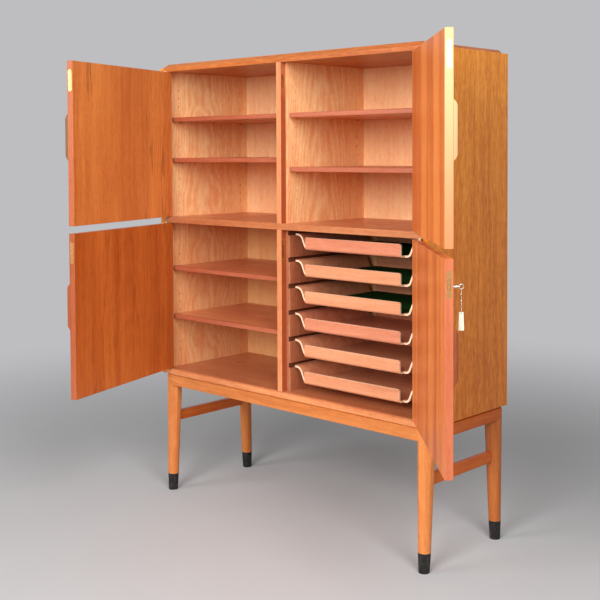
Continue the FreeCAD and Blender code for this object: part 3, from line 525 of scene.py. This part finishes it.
def wood(name, pair, axis="Z", shift=(0.0, 0.0, 0.0), figure=None, gloss=0.4, place=None, strips=None):
    """A wood finish from its light and dark tones.

    figure holds the grain's amounts, and gloss is its roughness. place(tree, vector) gives the vector to work
    in. strips(tree, vector, grain, colour) lays areas of another wood or of painted shade and highlight, and
    gives the new colour.
    """
    material, tree, surface, vector = new_material(name)
    if place:
        vector = place(tree, vector)
    amounts = {"Streaks": 0.5, "Bands": 0.45, "Mottle": 0.25, **(figure or {})}
    grain = group_node(tree, "Wood Grain", {"Vector": grain_vector(tree, vector, axis, shift), **amounts})
    colour = grain_colour(tree, grain, pair)
    if strips:
        colour = strips(tree, vector, grain, colour)
    width = bpy.context.scene.cabinet_sizes.worn_edge
    wear = group_node(tree, "Edge Wear", {"Vector": vector, "Width": width, "Amount": 0.55})
    # Paler band along edges: rubbed wear and a painted highlight
    rubbed = tuple(min(1.0, 1.25 * value + 0.03) for value in pair[0])
    colour = mix(tree, wear["Edge"], colour, rubbed)
    handling = group_node(tree, "Handling", {"Vector": vector, "Gloss": gloss, "Spread": 0.14})
    colour = mix(tree, handling["Dust"], colour, DUST)
    fill(tree, surface, {"Base Color": colour, "Roughness": handling["Roughness"]})
    fill(tree, surface, {"Specular IOR Level": 0.3, "Coat Weight": 0.04, "Coat Roughness": 0.3})
    bump(tree, surface, grain["Height"], distance=0.00012, strength=0.35)
    return material


def area(pair, mask):
    """Another wood, or painted shade, wherever mask(tree, place) says, with place the sockets X, Y and Z."""

    def build(tree, vector, grain, colour):
        return mix(tree, mask(tree, axes(tree, vector)), colour, grain_colour(tree, grain, pair))

    return build


def lower_part(pair, height, back):
    """Painted shade: darker tones for all that lies below a height and ahead of a board's back face."""

    def mask(tree, place):
        below = calc(tree, "LESS_THAN", place["Z"], height)
        ahead = calc(tree, "LESS_THAN", place["Y"], back - BACK_SKIN)
        return calc(tree, "MULTIPLY", below, ahead)

    return area(pair, mask)


def aged_below(pair, low, high):
    """Painted shade: the wood darker towards the floor, blended in between two heights."""
    return area(pair, lambda tree, place: ramp(tree, place["Z"], high, low, smooth=True))


def front_strip(pair, reach):
    """Another wood, or painted shade, for all that lies ahead of a line across the board."""
    return area(pair, lambda tree, place: ramp(tree, place["Y"], reach, reach - BLEND))


def groove_strips(pair):
    """Painted shade on the faces inside the guides' grooves, which lie further out than the guides' faces."""
    low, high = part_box("tray_1")
    middle = (low[0] + high[0]) / 2
    face = (high[0] - low[0]) / 2 - GROOVE_DEPTH

    def mask(tree, place):
        reach = calc(tree, "ABSOLUTE", calc(tree, "SUBTRACT", place["X"], middle))
        inside = calc(tree, "GREATER_THAN", reach, face + GROOVE_SKIN)
        behind = calc(tree, "GREATER_THAN", place["Y"], FRONT + GROOVE_START)
        return calc(tree, "MULTIPLY", inside, behind)

    return area(pair, mask)


def divider_strips(strip, top_strip):
    """The divider's darker side faces behind its pale front edge, paler again near the top."""

    def build(tree, vector, grain, colour):
        place = axes(tree, vector)
        behind = ramp(tree, place["Y"], FRONT + DIVIDER_SKIN[0], FRONT + DIVIDER_SKIN[1])
        high = ramp(tree, place["Z"], *DIVIDER_FADE, smooth=True)
        side = mix(tree, high, grain_colour(tree, grain, strip), grain_colour(tree, grain, top_strip))
        return mix(tree, behind, colour, side)

    return build


def in_turn(*strips):
    """Several strips, each laid over the one before."""

    def build(tree, vector, grain, colour):
        for strip in strips:
            colour = strip(tree, vector, grain, colour)
        return colour

    return build


def node_object(name):
    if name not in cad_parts:
        raise RuntimeError("The frame has no node " + name)
    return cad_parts[name]


def finish(material, *names):
    """Give CAD nodes a material."""
    for name in names:
        piece = node_object(name)
        if not piece.material_slots:
            piece.data.materials.append(material)
        for slot in piece.material_slots:
            slot.material = material


# Doors


def mapped(tree, vector, location, rotation=(0.0, 0.0, 0.0)):
    values = {"Vector": vector, "Location": location, "Rotation": rotation}
    return put(tree, "ShaderNodeMapping", values, vector_type="POINT").outputs["Vector"]


def door_place(side, angle):
    """Door coordinates: X from the pivot along the closed door, Y back from the front, Z up."""
    pivot = Vector((side * (SIDE_INNER - DOOR_GAP - PIVOT_SETBACK), FRONT, 0.0))
    turn = -side * angle
    shifted = -(Matrix.Rotation(turn, 3, "Z") @ pivot)
    return lambda tree, vector: mapped(tree, vector, shifted, (0.0, 0.0, turn))


def door_strips(outer, lipping, edge_colour=None, scuffed=False):
    """The outer face's veneer, the solid strip at the free edge, and the trays' marks on the inner face. A
    highlight colour adds a painted highlight that pales the free edge towards the top.
    """

    def build(tree, vector, grain, colour):
        place = axes(tree, vector)
        reach = calc(tree, "ABSOLUTE", place["X"])
        if scuffed:
            marks = scuff_lines(tree, vector, place["Z"], reach)
            colour = mix(tree, marks, colour, tone(255, 206, 168))
        outside = ramp(tree, place["Y"], *OUTER_SKIN)
        colour = mix(tree, outside, colour, grain_colour(tree, grain, outer))
        width = DOOR_WIDTH - PIVOT_SETBACK
        free = ramp(tree, reach, width - FREE_EDGE_SKIN[0], width - FREE_EDGE_SKIN[1])
        strip = grain_colour(tree, grain, lipping)
        if edge_colour:
            # Painted highlight: the free edge pales towards the top
            height = ramp(tree, place["Z"], *EDGE_HIGHLIGHT_FADE, smooth=True)
            orange = tinted(lipping[0], (1.0, 1.0, 0.72))
            lower_edge = tuple(0.1 * first + 0.9 * second for first, second in zip(edge_colour, orange))
            strip = mix(tree, 0.85, strip, mix(tree, height, lower_edge, edge_colour))
        return mix(tree, free, colour, strip)

    return build


def scuff_lines(tree, vector, height, reach):
    """Fine level lines on the door's hinge side, at the heights of the trays' lips."""
    top = tray_origin(1).z
    pitch = (top - tray_origin(TRAY_COUNT).z) / (TRAY_COUNT - 1)
    steps = calc(tree, "DIVIDE", calc(tree, "SUBTRACT", top, height), pitch)
    nearest = calc(tree, "ABSOLUTE", calc(tree, "SUBTRACT", steps, calc(tree, "ROUND", steps)))
    line = ramp(tree, nearest, 0.016, 0.008)
    length = ramp(tree, noise(tree, vector, 11.0, 2.0, 0.5), 0.3, 0.7, *SCUFF_LENGTH)
    inside = calc(tree, "LESS_THAN", reach, length)
    held = calc(tree, "COMPARE", steps, *SCUFF_STEPS)
    broken = ramp(tree, noise(tree, vector, 160.0, 2.0, 0.6), 0.35, 0.6)
    mask = calc(tree, "MULTIPLY", calc(tree, "MULTIPLY", line, inside), calc(tree, "MULTIPLY", held, broken))
    return calc(tree, "MULTIPLY", mask, SCUFF_STRENGTH)


# Trays


def tray_origin(number):
    """A tray's middle in X, its flap's show face and its lips' top, from its node."""
    low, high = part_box("tray_" + str(number))
    return Vector(((low[0] + high[0]) / 2, low[1], high[2]))


def tray_place(number):
    return lambda tree, vector: mapped(tree, vector, -tray_origin(number))


def tray_strips(edge_colour, layer_colour):
    """The layers in a tray's cut edges."""

    def build(tree, vector, grain, colour):
        facing = put(tree, "ShaderNodeTexCoord").outputs["Normal"]
        edges = group_node(tree, "Sheet Edges", {"Vector": vector, "Normal": facing})
        layered = mix(tree, calc(tree, "MULTIPLY", edges["Layers"], 0.4), edge_colour, layer_colour)
        return mix(tree, edges["Mask"], colour, layered)

    return build


def cloth_waves(mesh, height, number):
    """Lift the cloth in low, slow waves."""
    for vertex in mesh.verts:
        x, y = vertex.co.x, vertex.co.y
        wave = math.sin(31 * x + 2 * number) * math.sin(23 * y + number) + 0.5 * math.sin(67 * x - 41 * y)
        vertex.co.z += height * (0.5 + wave / 3)


def mesh_object(name, mesh, material):
    """A flat bmesh as an object at the origin, with its faces looking up."""
    data = bpy.data.meshes.new(name)
    mesh.to_mesh(data)
    mesh.free()
    if data.polygons[0].normal.z < 0:
        data.flip_normals()
    data.materials.append(material)
    piece = bpy.data.objects.new(name, data)
    bpy.context.scene.collection.objects.link(piece)
    return piece


def make_cloth(number, sizes, material):
    """One tray's cloth lining, laid on the tray's bottom."""
    node = "tray_lining_" + str(number)
    low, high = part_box(node)
    width, length = high[0] - low[0], high[1] - low[1]
    mesh = bmesh.new()
    bmesh.ops.create_grid(mesh, x_segments=60, y_segments=56, size=0.5)
    bmesh.ops.scale(mesh, vec=(width, length, 1.0), verts=mesh.verts)
    cloth_waves(mesh, sizes.cloth_wave, number)
    centre = ((low[0] + high[0]) / 2, (low[1] + high[1]) / 2, low[2] + CLOTH_LIFT)
    bmesh.ops.translate(mesh, vec=centre, verts=mesh.verts)
    bmesh.ops.recalc_face_normals(mesh, faces=mesh.faces)
    cloth = mesh_object("tray_cloth_" + str(number), mesh, material)
    cloth.data.shade_smooth()
    wall = cloth.modifiers.new("Cloth thickness", "SOLIDIFY")
    wall.thickness = sizes.cloth_thickness
    wall.offset = 1.0
    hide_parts(node)
    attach(cloth, "tray_" + str(number))


# Stage


def set_camera(stage):
    """The camera at the photograph's place and angle."""
    azimuth, tilt, roll = stage.camera_azimuth, stage.camera_tilt, stage.camera_roll
    flat = math.cos(tilt)
    forward = Vector((-math.sin(azimuth) * flat, math.cos(azimuth) * flat, -math.sin(tilt)))
    level = Vector((math.cos(azimuth), math.sin(azimuth), 0.0))
    upward = level.cross(forward)
    right = math.cos(roll) * level + math.sin(roll) * upward
    up = -math.sin(roll) * level + math.cos(roll) * upward
    data = bpy.data.cameras.new("Camera")
    data.sensor_fit = "HORIZONTAL"
    data.sensor_width = 36.0
    data.lens = stage.camera_lens
    data.shift_y = stage.camera_shift
    camera = bpy.data.objects.new("Camera", data)
    bpy.context.scene.collection.objects.link(camera)
    rotation = Matrix((right, up, -forward)).transposed().to_4x4()
    camera.matrix_world = Matrix.Translation(stage.camera_place) @ rotation
    bpy.context.scene.camera = camera


def add_lamp(name, place, size, power):
    """A round lamp that looks at the middle of the cabinet."""
    data = bpy.data.lights.new(name, "AREA")
    data.shape = "DISK"
    data.size = size
    data.energy = power
    data.color = LAMP_COLOUR
    lamp = bpy.data.objects.new(name, data)
    bpy.context.scene.collection.objects.link(lamp)
    lamp.visible_camera = False
    lamp.location = place
    lamp.rotation_euler = (Vector(LAMP_TARGET) - Vector(place)).to_track_quat("-Z", "Y").to_euler()


def set_world(stage):
    """Even light from all round, with a pale background for the camera and for reflections."""
    world = bpy.data.worlds.new("Studio")
    world.use_nodes = True
    tree = world.node_tree
    tree.nodes.clear()
    path = put(tree, "ShaderNodeLightPath").outputs
    sky = {"Color": (*SKY_COLOUR, 1.0), "Strength": stage.sky_strength}
    backdrop = {"Color": (*stage.backdrop_colour, 1.0), "Strength": 1.0}
    light = put(tree, "ShaderNodeBackground", sky).outputs[0]
    shown = put(tree, "ShaderNodeBackground", backdrop).outputs[0]
    seen = chain(tree, "MAXIMUM", path["Is Camera Ray"], path["Is Glossy Ray"], path["Is Transmission Ray"])
    chosen = put(tree, "ShaderNodeMixShader", {0: seen, 1: light, 2: shown})
    put(tree, "ShaderNodeOutputWorld", {"Surface": chosen.outputs[0]})
    bpy.context.scene.world = world


def floor_material(stage):
    """A plain pale floor that fades into the background far from the cabinet."""
    material, tree, surface, place = new_material("floor")
    speck = noise(tree, place, 3.0, 4.0, 0.6)
    base = tuple(stage.floor_colour)
    colour = mix(tree, ramp(tree, speck, 0.3, 0.7), scaled(base, 0.97), base)
    fill(tree, surface, {"Base Color": colour, "Roughness": 0.7, "Specular IOR Level": 0.2})
    clear = put(tree, "ShaderNodeBsdfTransparent").outputs[0]
    flat = vector_calc(tree, "MULTIPLY", place, (1.0, 1.0, 0.0))
    reach = put(tree, "ShaderNodeVectorMath", {0: flat}, operation="LENGTH").outputs["Value"]
    fade_start, fade_end = [share * stage.floor_radius for share in FLOOR_FADE]
    fade = ramp(tree, reach, fade_start, fade_end, smooth=True)
    both = put(tree, "ShaderNodeMixShader", {0: fade, 1: surface.outputs[0], 2: clear})
    output = [node for node in tree.nodes if node.type == "OUTPUT_MATERIAL"][0]
    fill(tree, output, {"Surface": both.outputs[0]})
    return material


def add_floor(stage):
    mesh = bmesh.new()
    bmesh.ops.create_circle(mesh, cap_ends=True, segments=96, radius=stage.floor_radius)
    floor = mesh_object("floor", mesh, floor_material(stage))


class CABINET_OT_stage(bpy.types.Operator):
    """Set the camera, the lamps, the background and the floor"""

    bl_idname = "cabinet.stage"
    bl_label = "Stage"

    def execute(self, context):
        stage = context.scene.cabinet_stage
        context.scene.view_settings.view_transform = "Standard"
        set_camera(stage)
        set_world(stage)
        add_floor(stage)
        add_lamp("Left lamp", (-2.0, -4.3, 2.3), 2.4, stage.left_power)
        add_lamp("Front lamp", (1.5, -4.3, 2.1), 2.2, stage.front_power)
        add_lamp("Right lamp", (3.1, -1.9, 2.7), 1.8, stage.right_power)
        return {"FINISHED"}


def ferrule_paint(name, paint):
    """Black paint that is scratched, dulled and rubbed at its edges."""
    material, tree, surface, place = new_material(name)
    marks = group_node(tree, "Scratches", {"Vector": place, "Scale": 0.35})
    wear = group_node(tree, "Edge Wear", {"Vector": place, "Width": 0.0015, "Amount": 0.8})
    scuffed = mix(tree, calc(tree, "MULTIPLY", marks["Scratch"], 0.5), paint, tone(112, 106, 100))
    dulled = mix(tree, calc(tree, "MULTIPLY", marks["Tarnish"], 0.35), scuffed, tone(62, 58, 56))
    colour = mix(tree, wear["Edge"], dulled, tone(120, 110, 98))
    roughness = ramp(tree, marks["Tarnish"], 0.0, 1.0, 0.35, 0.62)
    fill(tree, surface, {"Base Color": colour, "Roughness": roughness, "Specular IOR Level": 0.22})
    bump(tree, surface, marks["Scratch"], distance=0.0001, strength=0.3)
    return material


class CABINET_OT_stand(bpy.types.Operator):
    """Finish the legs, aprons, stretchers and ferrules"""

    bl_idname = "cabinet.stand"
    bl_label = "Stand"

    def execute(self, context):
        colours = context.scene.cabinet_colours
        pair = wood_pair(colours, "stand")
        calm = {"Streaks": 0.45, "Bands": 0.4, "Mottle": 0.15, "Veins": 0.15}
        # Painted shade: the side aprons and stretchers, and the back legs, take darker copies of the stand
        # wood
        side_shade = tinted_pair(pair, (0.84, 0.54, 0.2))
        duller = tinted_pair(pair, (0.78, 0.72, 0.6))
        upright = wood("stand_wood_upright", pair, "Z", (0.0, 0.0, 0.0), calm, 0.38)
        back = wood("stand_wood_back", duller, "Z", (0.4, 0.1, 0.3), calm, 0.38)
        across = wood("stand_wood_across", pair, "X", (0.0, 0.37, 0.11), calm, 0.38)
        shaded = wood("stand_wood_deep", side_shade, "Y", (0.23, 0.0, 0.17), calm, 0.38)
        finish(upright, "leg_front_left", "leg_front_right")
        finish(back, "leg_back_left", "leg_back_right")
        finish(across, "front_apron", "back_apron")
        finish(shaded, "left_apron", "right_apron", "left_stretcher", "right_stretcher")
        finish(ferrule_paint("ferrule_black", tuple(colours.ferrule)), "leg_ferrules")
        return {"FINISHED"}


class CABINET_OT_carcass(bpy.types.Operator):
    """Finish the sides, the boards, the back panel and the dividers"""

    bl_idname = "cabinet.carcass"
    bl_label = "Carcass"

    def execute(self, context):
        colours = context.scene.cabinet_colours
        self.finish_outside(wood_pair(colours, "outer"))
        self.finish_boards(wood_pair(colours, "shelf"))
        self.finish_back(wood_pair(colours, "inner"))
        self.finish_dividers(wood_pair(colours, "post"), wood_pair(colours, "strip"))
        return {"FINISHED"}

    def finish_outside(self, pair):
        streaked = {"Streaks": 0.95, "Bands": 0.45, "Mottle": 0.4, "Ribbons": 0.1, "Pore Scale": 620.0}
        fresh = tinted_pair(pair, (1.08, 1.06, 1.05))
        # Painted shade: the sides darker towards the floor
        lower_shade = aged_below(tinted_pair(pair, (0.89, 0.76, 0.64)), *SIDE_FADE)
        side = wood("carcass_side", fresh, "Z", (0.0, 0.4, 0.0), streaked, 0.36, strips=lower_shade)
        finish(side, "left_side", "right_side")
        reddish = tinted_pair(pair, (0.65, 0.52, 0.68))
        finish(wood("carcass_top", reddish, "X", (0.0, 0.21, 0.05), streaked, 0.36), "top_board")

    def finish_boards(self, pair):
        even = {"Streaks": 0.4, "Bands": 0.35}
        duller = front_strip(tinted_pair(pair, (0.76, 0.78, 0.76)), FRONT + FRONT_SKIN)
        paler = front_strip(tinted_pair(pair, (1.05, 1.15, 1.1)), FRONT + FRONT_SKIN)
        lower = tinted_pair(pair, (0.82, 0.84, 0.82))
        finish(wood("middle_wood", pair, "X", (0.0, 0.1, 0.3), even, 0.34, strips=duller), "middle_board")
        finish(wood("bottom_wood", lower, "X", (0.0, 0.2, 0.1), even, 0.34, strips=paler), "bottom_board")

    def finish_back(self, pair):
        # Painted shade: the back panel darker below the middle board
        shaded_lower = tinted_pair(pair, (0.88, 0.8, 0.64))
        below = lower_part(shaded_lower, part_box("middle_board")[0][2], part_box("back_panel")[1][1])
        veneer = wood("back_veneer", pair, "Z", (0.07, 0.0, 0.2), FLAT_FIGURE, 0.45, strips=below)
        finish(veneer, "back_panel")

    def finish_dividers(self, pair, side_pair):
        sides = divider_strips(side_pair, tinted_pair(side_pair, (1.28, 2.0, 2.4)))
        finish(wood("divider_post", pair, figure=FLAT_FIGURE, strips=sides), "upper_divider", "lower_divider")


class CABINET_OT_shelving(bpy.types.Operator):
    """Finish the wall linings, the tray guides and the six shelves"""

    bl_idname = "cabinet.shelving"
    bl_label = "Shelving"

    def execute(self, context):
        colours = context.scene.cabinet_colours
        shelf = wood_pair(colours, "shelf")
        reach = FRONT + SHELF_SETBACK + context.scene.cabinet_sizes.lipping
        self.finish_linings(wood_pair(colours, "inner"))
        self.finish_guides(tinted_pair(shelf, (0.62, 0.62, 0.72)))
        self.finish_shelves(shelf, tinted_pair(wood_pair(colours, "lipping"), (0.66, 0.74, 0.72)), reach)
        return {"FINISHED"}

    def finish_linings(self, pair):
        low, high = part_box("wall_linings")
        flamed = {"Streaks": 0.3, "Bands": 0.5, "Crown": 0.8, "Mottle": 0.5}
        golden = tinted_pair(pair, (1.0, 0.97, 0.88))
        # Painted shade: the linings darker below the middle board
        shaded = tinted_pair(pair, (0.86, 0.7, 0.58))
        lower = lower_part(shaded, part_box("middle_board")[0][2], high[1] + 2 * BACK_SKIN)
        # Painted shade along the linings' front edges
        nose_shade = front_strip(tinted_pair(golden, (0.85, 0.62, 0.55)), low[1] + LINING_NOSE)
        lining = wood("lining_veneer", golden, figure=flamed, gloss=0.45, strips=in_turn(lower, nose_shade))
        finish(lining, "wall_linings")

    def finish_guides(self, pair):
        figure = {"Streaks": 0.5, "Bands": 0.4, "Mottle": 0.3}
        # Painted shade inside the grooves
        groove_shadow = groove_strips(tinted_pair(pair, (0.3, 0.24, 0.2)))
        finish(wood("guide_wood", pair, "Z", (0.11, 0.0, 0.0), figure, 0.45, strips=groove_shadow), "tray_guides")

    def finish_shelves(self, pair, front_pair, reach):
        even = {"Streaks": 0.45, "Mottle": 0.2}
        strips = front_strip(front_pair, reach)
        board = wood("shelf_wood", pair, "X", (0.0, 0.0, 0.13), even, 0.36, strips=strips)
        for place in ("upper_left", "upper_right", "lower_left"):
            finish(board, place + "_shelf_high", place + "_shelf_low")


class CABINET_OT_doors(bpy.types.Operator):
    """Finish the four doors and their pulls"""

    bl_idname = "cabinet.doors"
    bl_label = "Doors"

    def execute(self, context):
        colours = context.scene.cabinet_colours
        veneer = wood_pair(colours, "door")
        outer = tinted_pair(wood_pair(colours, "outer"), (0.8, 0.78, 1.05))
        lipping = wood_pair(colours, "lipping")
        plain = {"Streaks": 0.34, "Bands": 0.3, "Mottle": 0.15, "Veins": 0.6, "Crown": 0.34, "Ribbons": 0.3}
        calmer = {**plain, "Veins": 0.35, "Crown": 0.25}
        striped = {"Streaks": 0.35, "Bands": 0.45, "Mottle": 0.12, "Veins": 0.1, "Ribbons": 0.7}
        # Side, opening angle, tints of the inner face, the edge and the pull, figure, and place in the
        # veneer. The tints paint each door's light and shade: lit and shaded copies of one veneer and one
        # lipping
        doors = {
            "upper_left": (-1, 72.5, (1.18, 1.46, 1.66), (0.72, 0.82, 0.62), (0.32, 0.66, 0.43), plain, 0.02),
            "upper_right": (1, 135, (1.2, 1.32, 1.5), (1.0, 1.0, 1.0), (0.7, 0.8, 0.66), striped, 0.31),
            "lower_left": (-1, 72.5, (0.9, 0.84, 0.72), (0.6, 0.66, 0.48), (0.6, 0.66, 0.48), calmer, -0.27),
            "lower_right": (1, 135, (1.11, 1.16, 1.38), (0.76, 0.8, 0.68), (0.35, 0.34, 0.21), striped, 0.93),
        }
        for name, (side, angle, tint, edge_tint, pull_tint, figure, across) in doors.items():
            # The upper right door's free edge and pull carry a painted highlight
            edge = tuple(colours.pale_edge) if name == "upper_right" else None
            place = door_place(side, math.radians(angle))
            shift = (across, 0.17, 0.4 * across)
            face = tinted_pair(veneer, tint)
            grip = tinted_pair(lipping, pull_tint)
            marks = door_strips(outer, tinted_pair(lipping, edge_tint), edge, name == "lower_right")
            finish(wood(name + "_door_veneer", face, "Z", shift, figure, 0.4, place, marks), name + "_door")
            ends = door_strips(grip, grip, edge)
            finish(wood(name + "_pull_wood", grip, "Z", shift, plain, 0.38, place, ends), name + "_pull")
        return {"FINISHED"}


def metal(name, colour, dull, gloss, scale):
    """Brushed metal that has dulled in patches."""
    material, tree, surface, place = new_material(name)
    marks = group_node(tree, "Scratches", {"Vector": place, "Scale": scale})
    toned = mix(tree, calc(tree, "MULTIPLY", marks["Tarnish"], 0.7), colour, dull)
    scratched = mix(tree, calc(tree, "MULTIPLY", marks["Scratch"], 0.35), toned, scaled(colour, 1.3))
    roughness = ramp(tree, marks["Tarnish"], 0.0, 1.0, gloss, gloss + 0.22)
    fill(tree, surface, {"Base Color": scratched, "Roughness": roughness, "Metallic": 1.0})
    bump(tree, surface, marks["Scratch"], distance=0.00003, strength=0.4)
    return material


def cloth(name, colour, threads):
    """A short-napped cloth."""
    material, tree, surface, place = new_material(name)
    weave = group_node(tree, "Nap and Weave", {"Vector": place, "Threads": threads})
    napped = mix(tree, weave["Tone"], scaled(colour, 0.62), scaled(colour, 1.3))
    roughness = ramp(tree, weave["Tone"], 0.0, 1.0, 0.95, 0.82)
    fill(tree, surface, {"Base Color": napped, "Roughness": roughness, "Specular IOR Level": 0.08})
    bump(tree, surface, weave["Height"], distance=0.0003, strength=0.6)
    return material


class CABINET_OT_hardware(bpy.types.Operator):
    """Finish the hinge leaves, plates, strikes, pins, lock, key, chain and tag"""

    bl_idname = "cabinet.hardware"
    bl_label = "Hardware"

    def execute(self, context):
        colours = context.scene.cabinet_colours
        brass = metal("brass_bright", tuple(colours.brass), tone(214, 176, 104), 0.26, 1.0)
        worn = metal("brass_worn", tone(222, 168, 108), tone(112, 68, 38), 0.36, 2.2)
        # A paler copy of the brass: painted highlight for the upper right edge plate
        pale = metal("brass_pale", tone(246, 236, 204), tone(228, 206, 150), 0.24, 1.0)
        hinge = metal("hinge_brass", tone(236, 214, 168), tone(70, 40, 24), 0.3, 3.0)
        steel = metal("steel_bright", tuple(colours.steel), tone(186, 182, 174), 0.18, 1.4)
        finish(brass, "shelf_pins", "strike_plates", "upper_left_edge_plate")
        finish(pale, "upper_right_edge_plate")
        finish(hinge, "carcass_hinge_leaves")
        for place in ("upper_left", "upper_right", "lower_left", "lower_right"):
            finish(hinge, place + "_door_leaves")
        finish(worn, "lock_case", "lock_bolt", "lower_left_edge_plate")
        finish(steel, "key", "key_chain")
        finish(cloth("tag_cloth", tuple(colours.tag), 2600.0), "key_tag")
        return {"FINISHED"}


class CABINET_OT_trays(bpy.types.Operator):
    """Finish the six bent trays"""

    bl_idname = "cabinet.trays"
    bl_label = "Trays"

    def execute(self, context):
        colours = context.scene.cabinet_colours
        pair = wood_pair(colours, "tray")
        edge = tuple(colours.tray_edge)
        strips = tray_strips(edge, scaled(edge, 0.62))
        soft = {"Streaks": 0.35, "Bands": 0.5, "Mottle": 0.15}
        for number in range(1, TRAY_COUNT + 1):
            name = "tray_" + str(number)
            toned = tinted_pair(pair, (1.0, 1.0, 1.0) if number in (1, 4) else (1.1, 1.25, 1.15))
            shift = (0.0, 0.13 * number, 0.29 * number)
            place = tray_place(number)
            finish(wood(name + "_veneer", toned, "X", shift, soft, 0.42, place, strips), name)
        return {"FINISHED"}


class CABINET_OT_tray_cloths(bpy.types.Operator):
    """Lay the green cloth in the upper three trays"""

    bl_idname = "cabinet.tray_cloths"
    bl_label = "Tray cloths"

    def execute(self, context):
        material = cloth("baize_green", tuple(context.scene.cabinet_colours.baize), 1900.0)
        for number in range(1, LINED_TRAYS + 1):
            make_cloth(number, context.scene.cabinet_sizes, material)
        return {"FINISHED"}


OPERATORS = (
    CABINET_OT_stage,
    CABINET_OT_stand,
    CABINET_OT_carcass,
    CABINET_OT_shelving,
    CABINET_OT_doors,
    CABINET_OT_hardware,
    CABINET_OT_trays,
    CABINET_OT_tray_cloths,
)


class CABINET_PT_sidebar(bpy.types.Panel):
    """Lists the cabinet's pieces, colours and sizes"""

    bl_label = "Storage Cabinet"
    bl_idname = "CABINET_PT_sidebar"
    bl_space_type = "VIEW_3D"
    bl_region_type = "UI"
    bl_category = "Cabinet"

    def draw(self, context):
        for operator in OPERATORS:
            self.layout.operator(operator.bl_idname)
        scene = context.scene
        for group in (scene.cabinet_colours, scene.cabinet_sizes, scene.cabinet_stage):
            box = self.layout.box()
            for name in group.__annotations__:
                box.prop(group, name)


CLASSES = (CabinetColours, CabinetSizes, CabinetStage) + OPERATORS + (CABINET_PT_sidebar,)


def register():
    for item in CLASSES:
        bpy.utils.register_class(item)
    bpy.types.Scene.cabinet_colours = PointerProperty(type=CabinetColours)
    bpy.types.Scene.cabinet_sizes = PointerProperty(type=CabinetSizes)
    bpy.types.Scene.cabinet_stage = PointerProperty(type=CabinetStage)


def unregister():
    del bpy.types.Scene.cabinet_stage
    del bpy.types.Scene.cabinet_sizes
    del bpy.types.Scene.cabinet_colours
    for item in reversed(CLASSES):
        bpy.utils.unregister_class(item)


def main():
    """Register the add-on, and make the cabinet."""
    register()
    bpy.ops.cabinet.stage()
    bpy.ops.cabinet.stand()
    bpy.ops.cabinet.carcass()
    bpy.ops.cabinet.shelving()
    bpy.ops.cabinet.doors()
    bpy.ops.cabinet.hardware()
    bpy.ops.cabinet.trays()
    bpy.ops.cabinet.tray_cloths()


if __name__ == "__main__":
    main()
